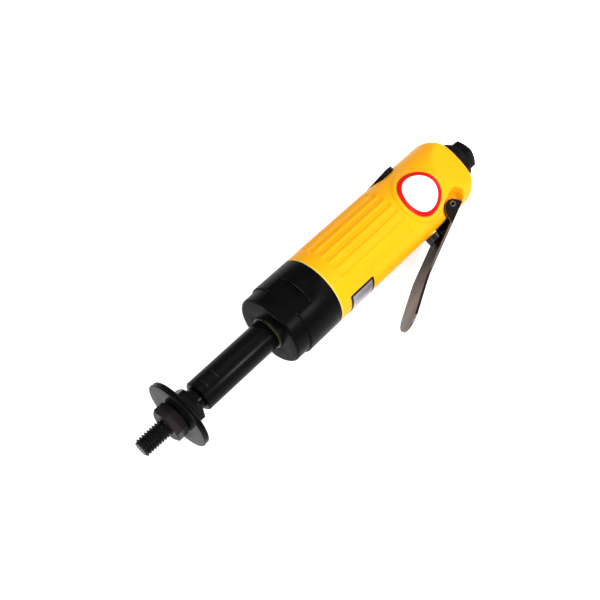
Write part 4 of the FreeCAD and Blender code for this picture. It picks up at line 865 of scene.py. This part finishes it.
housing = housing_shell()
worked(housing, [
    curved_disc("badge_cutter", BADGE_RADIUS + GAP, badge_floor - GAP, badge_top + 2),
    curved_plate("plate_cutter", plate_low[0] - GAP, plate_high[0] + GAP, plate_spread + 0.2, plate_outer - 0.5,
                 BODY_RADIUS + 2, PLATE_CORNER),
    lathed("bush_cutter", [
        (seat_back - 0.1, 0), (seat_back - 0.1, chamber_radius), (bush_back, chamber_radius),
        (bush_back, bush_bore), (outside, bush_bore), (outside, 0)], 0, "y", valve_middle, 64),
    lathed("spot_face", [
        (-outside, 0), (-outside, REGULATOR_RADIUS + 0.1), (-REGULATOR_FACE, REGULATOR_RADIUS + 0.1),
        (-REGULATOR_FACE, regulator_bore), (seat_back, regulator_bore), (seat_back, 0)], 0, "y", valve_middle, 96),
    lathed("pin_bore", [(-outside, 0), (-outside, pin_bore), (outside, pin_bore), (outside, 0)], 0, "z",
           pivot, 32),
])
handed_over(housing, "housing", 40)

handed_over(curved_disc("enamel_badge", BADGE_RADIUS, badge_floor + 0.02, badge_top), "badge", 50)
plate = curved_plate("foil_nameplate", plate_low[0], plate_high[0], plate_spread, plate_outer - 0.45,
                     plate_outer, PLATE_CORNER)
handed_over(bevelled(plate, 0.08), "nameplate", 50)


# Gear case, seal and shaft

nose_end = CASE_FRONT + CASE_NOSE_LENGTH
seat_end, spigot_end = CASE_FRONT + BEARING_SEAT_BACK, HOUSING_FRONT + SPIGOT_LENGTH
front_wall = CASE_FRONT + CASE_FRONT_WALL
case = lathed("gear_case_shell", [
    (CASE_FRONT, CASE_BORE), (CASE_FRONT, CASE_NOSE_RADIUS - 1, 0.3), (CASE_FRONT + 1, CASE_NOSE_RADIUS, 0.3),
    (nose_end, CASE_NOSE_RADIUS, 0.1), (nose_end, BODY_RADIUS, 0.35), (HOUSING_FRONT, BODY_RADIUS, 0.3),
    (HOUSING_FRONT, SPIGOT_RADIUS), (spigot_end, SPIGOT_RADIUS), (spigot_end, MOTOR_BORE),
    (seat_end, MOTOR_BORE), (seat_end, BEARING_BORE), (front_wall, BEARING_BORE), (front_wall, CASE_BORE)])
worked(case, flats(CASE_FLAT_ACROSS, CASE_FRONT - PAST, CASE_FRONT + CASE_FLAT_LENGTH, BODY_RADIUS + PAST))
handed_over(bevelled(case, 0.3), "gear_case")

seal_front, seal_back = front("nose_seal_ring"), back("nose_seal_ring")
seal = lathed("seal_ring", [(seal_front, SEAL_BORE, 0.3), (seal_front, SEAL_RADIUS, 0.35),
                            (seal_back, SEAL_RADIUS), (seal_back, SEAL_BORE)], 0.2)
handed_over(seal, "nose_seal_ring")

shaft_front, shaft_back = front("extension_shaft"), back("extension_shaft")
socket_end, flat_start = shaft_back - SHAFT_SOCKET_DEPTH, shaft_front + SHAFT_FLAT_START
shaft = lathed("shaft_bar", [
    (shaft_front, SHAFT_BORE), (shaft_front, SHAFT_RADIUS - 0.8, 0.2), (shaft_front + 0.8, SHAFT_RADIUS, 0.2),
    (shaft_back, SHAFT_RADIUS), (shaft_back, SHAFT_SOCKET_RADIUS), (socket_end, SHAFT_SOCKET_RADIUS),
    (socket_end, SHAFT_BORE)], 0.1)
worked(shaft, flats(SHAFT_FLAT_ACROSS, flat_start, flat_start + SHAFT_FLAT_LENGTH, SHAFT_RADIUS + PAST))
handed_over(bevelled(shaft, 0.14), "extension_shaft")


# Arbor, nut and washers

stud_tip = front("threaded_arbor")
arbor_back = back("threaded_arbor")
stud_root = STUD_RADIUS - STUD_DEPTH
core = STUD_RADIUS - STUD_DEPTH / 2
nut_front, nut_back = front("clamp_nut"), back("clamp_nut")
collar_face = COLLAR_FRONT + 0.9

arbor = lathed("threaded_stud", [
    (stud_tip, 0), (stud_tip, stud_root - 0.1, 0.3), (stud_tip + 0.3, stud_root, 0.1), (nut_front, stud_root, 0),
    (nut_front + 0.1, core, 0), (collar_face, core, 0.1), (collar_face, NECK_RADIUS, 0.1),
    (shaft_front, NECK_RADIUS, 0.3), (shaft_front, core, 0.1), (arbor_back - 0.8, core, 0.1),
    (arbor_back, core - 0.8, 0.1), (arbor_back, 0)], 0.1)
turns = (nut_front - stud_tip - 0.4) / STUD_PITCH
ridge = grown("stud_thread", helix, {
    "Pitch": STUD_PITCH, "Turns": turns, "Radius": STUD_RADIUS - 0.75, "Reach": 0.95,
    "Half width": 0.62, "Run-out": 0.35}, FINISHES["black_steel"])
moved(ridge, stud_tip + 0.45)
crest = STUD_RADIUS - 0.02
limit = lathed("crest_limit", [(stud_tip + 0.05, 0), (stud_tip + 0.05, STUD_RADIUS - 0.7), (stud_tip + 0.75, crest),
                               (nut_front - 0.02, crest), (nut_front - 0.02, 0)], 0)
worked(ridge, [limit], "INTERSECT")
collar = hexagon("hex_collar", COLLAR_FRONT, COLLAR_LENGTH, HEX_ACROSS, COLLAR_TURN)
worked(arbor, [collar, ridge], "UNION")
handed_over(bevelled(arbor, 0.07, 1, 35), "threaded_arbor", 32)

nut = hexagon("clamp_nut_hexagon", nut_front, nut_back - nut_front, HEX_ACROSS, NUT_TURN)
nut_hole = lathed("nut_hole", [(nut_front - 1, 0), (nut_front - 1, STUD_RADIUS + 0.75),
                               (nut_front + 0.7, core + GAP), (nut_back + 1, core + GAP), (nut_back + 1, 0)], 0)
worked(nut, [nut_hole])
# The nut's finish is painted lighter to stand for light falling on its faces.
handed_over(bevelled(nut, 0.16), "clamp_nut", finish=NUT_STEEL_PAINTED_LIGHTER)

for node, name in (("front_clamp_washer", "front_washer_disc"), ("rear_clamp_washer", "rear_washer_disc")):
    start, end, rim = front(node), back(node), radius_of(node)
    hole = STUD_RADIUS + GAP
    handed_over(lathed(name, [(start, hole), (start, rim, 0.75), (end, rim, 0.75), (end, hole)], 0.15), node)


# Rear end

ring_front, ring_back = front("exhaust_ring"), back("exhaust_ring")
ring_radius = radius_of("exhaust_ring")
cap_inside, rim_inside = ring_back - 1.4, ring_radius - 0.7
ring = lathed("exhaust_ring_cap", [
    (ring_front, rim_inside), (ring_front, ring_radius), (ring_back, ring_radius, 0.75),
    (ring_back, THREAD_BORE), (cap_inside, THREAD_BORE), (cap_inside, rim_inside)])
vents = grown("vent_drills", ring_of_holes, {"Count": 12, "Circle": 10.9, "Radius": 0.7, "Depth": 4.0},
              FINISHES["black_plastic"])
worked(ring, [moved(vents, ring_back - 0.7)])
handed_over(ring, "exhaust_ring")

bushing_front, bushing_back = front("inlet_bushing"), back("inlet_bushing")
barrel_radius, screen_bore, screen_end, neck = THREAD_BORE - 0.02, 6.52, bushing_front + 6.1, 5
barrel = lathed("bushing_barrel", [(bushing_front, 0), (bushing_front, barrel_radius, 0.4),
                                   (ring_back + 0.5, barrel_radius), (ring_back + 0.5, 0)], 0.1)
bushing = hexagon("inlet_bushing_hexagon", ring_back, bushing_back - ring_back, HEX_ACROSS, BUSHING_TURN)
worked(bushing, [barrel], "UNION")
bore = lathed("bushing_bore", [
    (bushing_front - 1, 0), (bushing_front - 1, screen_bore), (screen_end, screen_bore), (screen_end, neck),
    (bushing_back - 12, neck), (bushing_back - 12, PIPE_RADIUS), (bushing_back - 0.7, PIPE_RADIUS),
    (bushing_back + 0.5, PIPE_RADIUS + 1.2), (bushing_back + 0.5, 0)], 0)
worked(bushing, [bore])
groove = grown("pipe_thread", helix, {
    "Pitch": PIPE_PITCH, "Turns": 8.0, "Radius": PIPE_RADIUS, "Reach": 0.6, "Half width": 0.5,
    "Run-out": 0.3}, FINISHES["black_steel"])
worked(bushing, [moved(groove, bushing_back - 11.7)])
handed_over(bevelled(bushing, 0.14, 2, 35), "inlet_bushing", 32)


# Valve plunger and its bush, and the regulator screw

bush_low, bush_high = corners("valve_bush")
bush_inner, bush_outer = -bush_high[1], -bush_low[1]
rod_bore, head_bore, head_room = 3.36, PLUNGER_HEAD + 0.06, PLUNGER_HEAD_START - 4
bush = lathed("valve_bush_ring", [
    (bush_inner, rod_bore), (bush_inner, BUSH_RADIUS, 0.2), (bush_outer, BUSH_RADIUS, 0.1),
    (bush_outer, head_bore, 0.05), (head_room, head_bore), (head_room, rod_bore)], 0.1, "y", valve_middle, 96)
handed_over(bush, "valve_bush")

plunger = copied("throttle_plunger", "plunger_rod")
tip = -corners("throttle_plunger")[0][1]
head = lathed("plunger_head", [(PLUNGER_HEAD_START, 0), (PLUNGER_HEAD_START, PLUNGER_HEAD, 0.2),
                               (tip, PLUNGER_HEAD, 0.7), (tip, 0)], 0.1, "y", valve_middle, 96)
worked(plunger, [head], "UNION")
handed_over(plunger, "throttle_plunger", finish=PLUNGER_STEEL)

stem_end = 7 - REGULATOR_FACE
cap = lathed("regulator_cap", [
    (stem_end, 0), (stem_end, REGULATOR_STEM), (-REGULATOR_FACE, REGULATOR_STEM),
    (-REGULATOR_FACE, REGULATOR_RADIUS), (-REGULATOR_REACH, REGULATOR_RADIUS, 0.5), (-REGULATOR_REACH, 0)],
    0.15, "y", valve_middle, 120)
cut_to, cut_half = REGULATOR_REACH + PAST, REGULATOR_RADIUS + PAST
worked(cap, [
    block("lower_half", (VALVE_ALONG - cut_half, REGULATOR_REACH - REGULATOR_STEP, -cut_half),
          (VALVE_ALONG, cut_to, cut_half)),
    block("driver_slot", (VALVE_ALONG - 1, REGULATOR_REACH - SLOT_DEPTH, -cut_half),
          (VALVE_ALONG + 1, cut_to, cut_half)),
])
handed_over(bevelled(cap, 0.2), "regulator_screw")


# Lever and its roll pin

def side_plate(name, outline, low, high):
    """A plate of an outline (along, lever) between two heights."""
    return prismatic(name, [[(along, -lever, up) for along, lever in outline] for up in (low, high)])


def rounded(places, steps=4):
    """A smooth line through places."""
    made = []
    for index in range(len(places) - 1):
        before, start = Vector(places[max(index - 1, 0)]), Vector(places[index])
        end, after = Vector(places[index + 1]), Vector(places[min(index + 2, len(places) - 1)])
        for step in range(steps):
            share = step / steps
            made.append(tuple(start + (end - before) * (share / 2) + (before * 2 - start * 5 + end * 4 - after)
                              * (share ** 2 / 2) + (start * 3 - before - end * 3 + after) * (share ** 3 / 2)))
    return made + [places[-1]]


def on_web(along, depth):
    """A place on the lever's web: along from the pivot, at a depth from its inner face."""
    return along, (WEB_INSIDE + depth) / cos(LEVER_REST) - along * tan(LEVER_REST)


def at_pivot(places):
    return [(PIVOT_ALONG + along, PIVOT_LEVER + lever) for along, lever in places]


lever = copied("throttle_lever", "lever_sheet")
half_width = LEVER_WIDTH / 2
wide = half_width + 1
old_ears = at_pivot([on_web(-12, -0.01), (-12, -6), (7, -6), on_web(7, -0.01)])
worked(lever, [side_plate("old_ears", old_ears, -wide, wide)])
ear_line = at_pivot([on_web(-EAR_REACH, 0.5)] + rounded(EAR_EDGE) + [on_web(EAR_REAR, 0.5)])
worked(lever, [side_plate("upper_ear", ear_line, half_width - LEVER_THICKNESS, half_width),
               side_plate("lower_ear", ear_line, -half_width, LEVER_THICKNESS - half_width)], "UNION")
# A hair off both sides leaves ears and web in one plane
side = half_width - 0.005
worked(lever, [block("side_cut", (PIVOT_ALONG - 120, -PIVOT_LEVER - 60, -side),
                     (PIVOT_ALONG + 20, -PIVOT_LEVER + 20, side))], "INTERSECT")
worked(lever, [lathed("pin_hole", [(-wide, 0), (-wide, PIN_RADIUS + GAP), (wide, PIN_RADIUS + GAP), (wide, 0)], 0,
                      "z", pivot, 48)])
handed_over(bevelled(lever, 0.22, 2, 35), "throttle_lever")

pin_low, pin_high = corners("lever_pin")
pin = lathed("roll_pin", [(pin_low[2], PIN_BORE), (pin_low[2], PIN_RADIUS, 0.2), (pin_high[2], PIN_RADIUS, 0.2),
                          (pin_high[2], PIN_BORE)], 0.1, "z", pivot, 48)
slit_half = 0.22
worked(pin, [block("pin_slit", (PIVOT_ALONG - PAST, -PIVOT_LEVER - slit_half, pin_low[2] - 1),
                   (PIVOT_ALONG, -PIVOT_LEVER + slit_half, pin_high[2] + 1))])
handed_over(pin, "lever_pin")


# Every CAD piece that stays keeps its shape and gets its finish

for name, node in NODES.items():
    if not node.hide_render:
        node.data.materials.clear()
        node.data.materials.append(FINISHES[slot_of(name)])


# Floor, light and camera

def stage_finish(name, shade, glow):
    """Pale floor that shows white to the camera and in reflections, and keeps the tool's shadow."""
    material = bpy.data.materials.new(name)
    material.use_nodes = True
    nodes = Nodes(material.node_tree)
    nodes.tree.nodes.clear()
    rays = nodes.add("ShaderNodeLightPath")
    seen_by = [Value(nodes, rays.outputs[f"Is {ray} Ray"]) for ray in ("Camera", "Glossy", "Transmission")]
    looked_at = seen_by[0].most(seen_by[1]).most(seen_by[2])
    matt = nodes.add("ShaderNodeBsdfDiffuse", inputs={"Color": (shade, shade, shade, 1)})
    light = nodes.add("ShaderNodeEmission", inputs={"Color": (1, 1, 1, 1), "Strength": looked_at * glow})
    both = nodes.add("ShaderNodeAddShader", inputs={0: matt.outputs[0], 1: light.outputs[0]})
    nodes.add("ShaderNodeOutputMaterial", inputs={"Surface": both.outputs[0]})
    return material


floor_half = 3.0
floor_mesh = bpy.data.meshes.new("floor")
floor_mesh.from_pydata([(x * floor_half, y * floor_half, CAD_BOX[0][2])
                        for x, y in ((-1, -1), (1, -1), (1, 1), (-1, 1))], [], [(0, 1, 2, 3)])
floor = new_piece("floor", floor_mesh)
floor.data.materials.append(stage_finish("pale_floor", 0.75, 0.72))

world = bpy.data.worlds.new("studio")
bpy.context.scene.world = world
world.use_nodes = True
sky = Nodes(world.node_tree)
sky.tree.nodes.clear()
sky_rays = sky.add("ShaderNodeLightPath")
sky_seen = Value(sky, sky_rays.outputs["Is Camera Ray"]).most(Value(sky, sky_rays.outputs["Is Transmission Ray"]))
backdrop = sky.add("ShaderNodeBackground", inputs={"Color": (1, 1, 1, 1), "Strength": sky_seen * 0.4 + 0.6})
sky.add("ShaderNodeOutputWorld", inputs={"Surface": backdrop.outputs[0]})

TARGET = Vector((106.17, 2.77, -4.86)) * MM
CAMERA_DISTANCE = 469.92 * MM
CAMERA_HEADING = radians(59.39)
CAMERA_ELEVATION = radians(61.0)
CAMERA_ROLL = radians(-13.51)
CAMERA_LENS = 54
FRAME_WIDTH = 36


def aimed(thing, place, target, roll=0):
    """Puts a lamp or the camera at a place and turns it to a target."""
    ahead = (target - place).normalized()
    side = ahead.cross(Vector((0, 0, 1))).normalized()
    up = side.cross(ahead)
    right = side * cos(roll) - up * sin(roll)
    top = up * cos(roll) + side * sin(roll)
    turned = Matrix((right, top, -ahead)).transposed().to_4x4()
    thing.matrix_world = Matrix.Translation(place) @ turned


view_ahead = Vector((sin(CAMERA_HEADING) * cos(CAMERA_ELEVATION),
                     cos(CAMERA_HEADING) * cos(CAMERA_ELEVATION), -sin(CAMERA_ELEVATION)))
camera = new_piece("camera", bpy.data.cameras.new("camera"))
camera.data.lens = CAMERA_LENS
camera.data.sensor_width = FRAME_WIDTH
camera.data.clip_start = 0.01
aimed(camera, TARGET - view_ahead * CAMERA_DISTANCE, TARGET, CAMERA_ROLL)
bpy.context.scene.camera = camera

LAMPS = {
    "lever_side_lamp": ((-0.28, -0.73, 0.49), 0.22, 3.0),
    "front_lamp": ((-0.82, -0.1, 0.36), 0.25, 0.6),
    "glint_lamp": ((0.27, -0.59, 0.62), 0.13, 3.6),
    "rear_lamp": ((0.62, -0.25, 0.7), 0.45, 2.2),
    "top_lamp": ((0.05, 0.2, 0.9), 0.6, 1.4),
}
for name, (place, size, power) in LAMPS.items():
    lamp = bpy.data.lights.new(name, "AREA")
    lamp.shape = "DISK"
    lamp.size = size
    lamp.energy = power
    aimed(new_piece(name, lamp), TARGET + Vector(place), TARGET)

bpy.context.scene.view_settings.view_transform = "Standard"
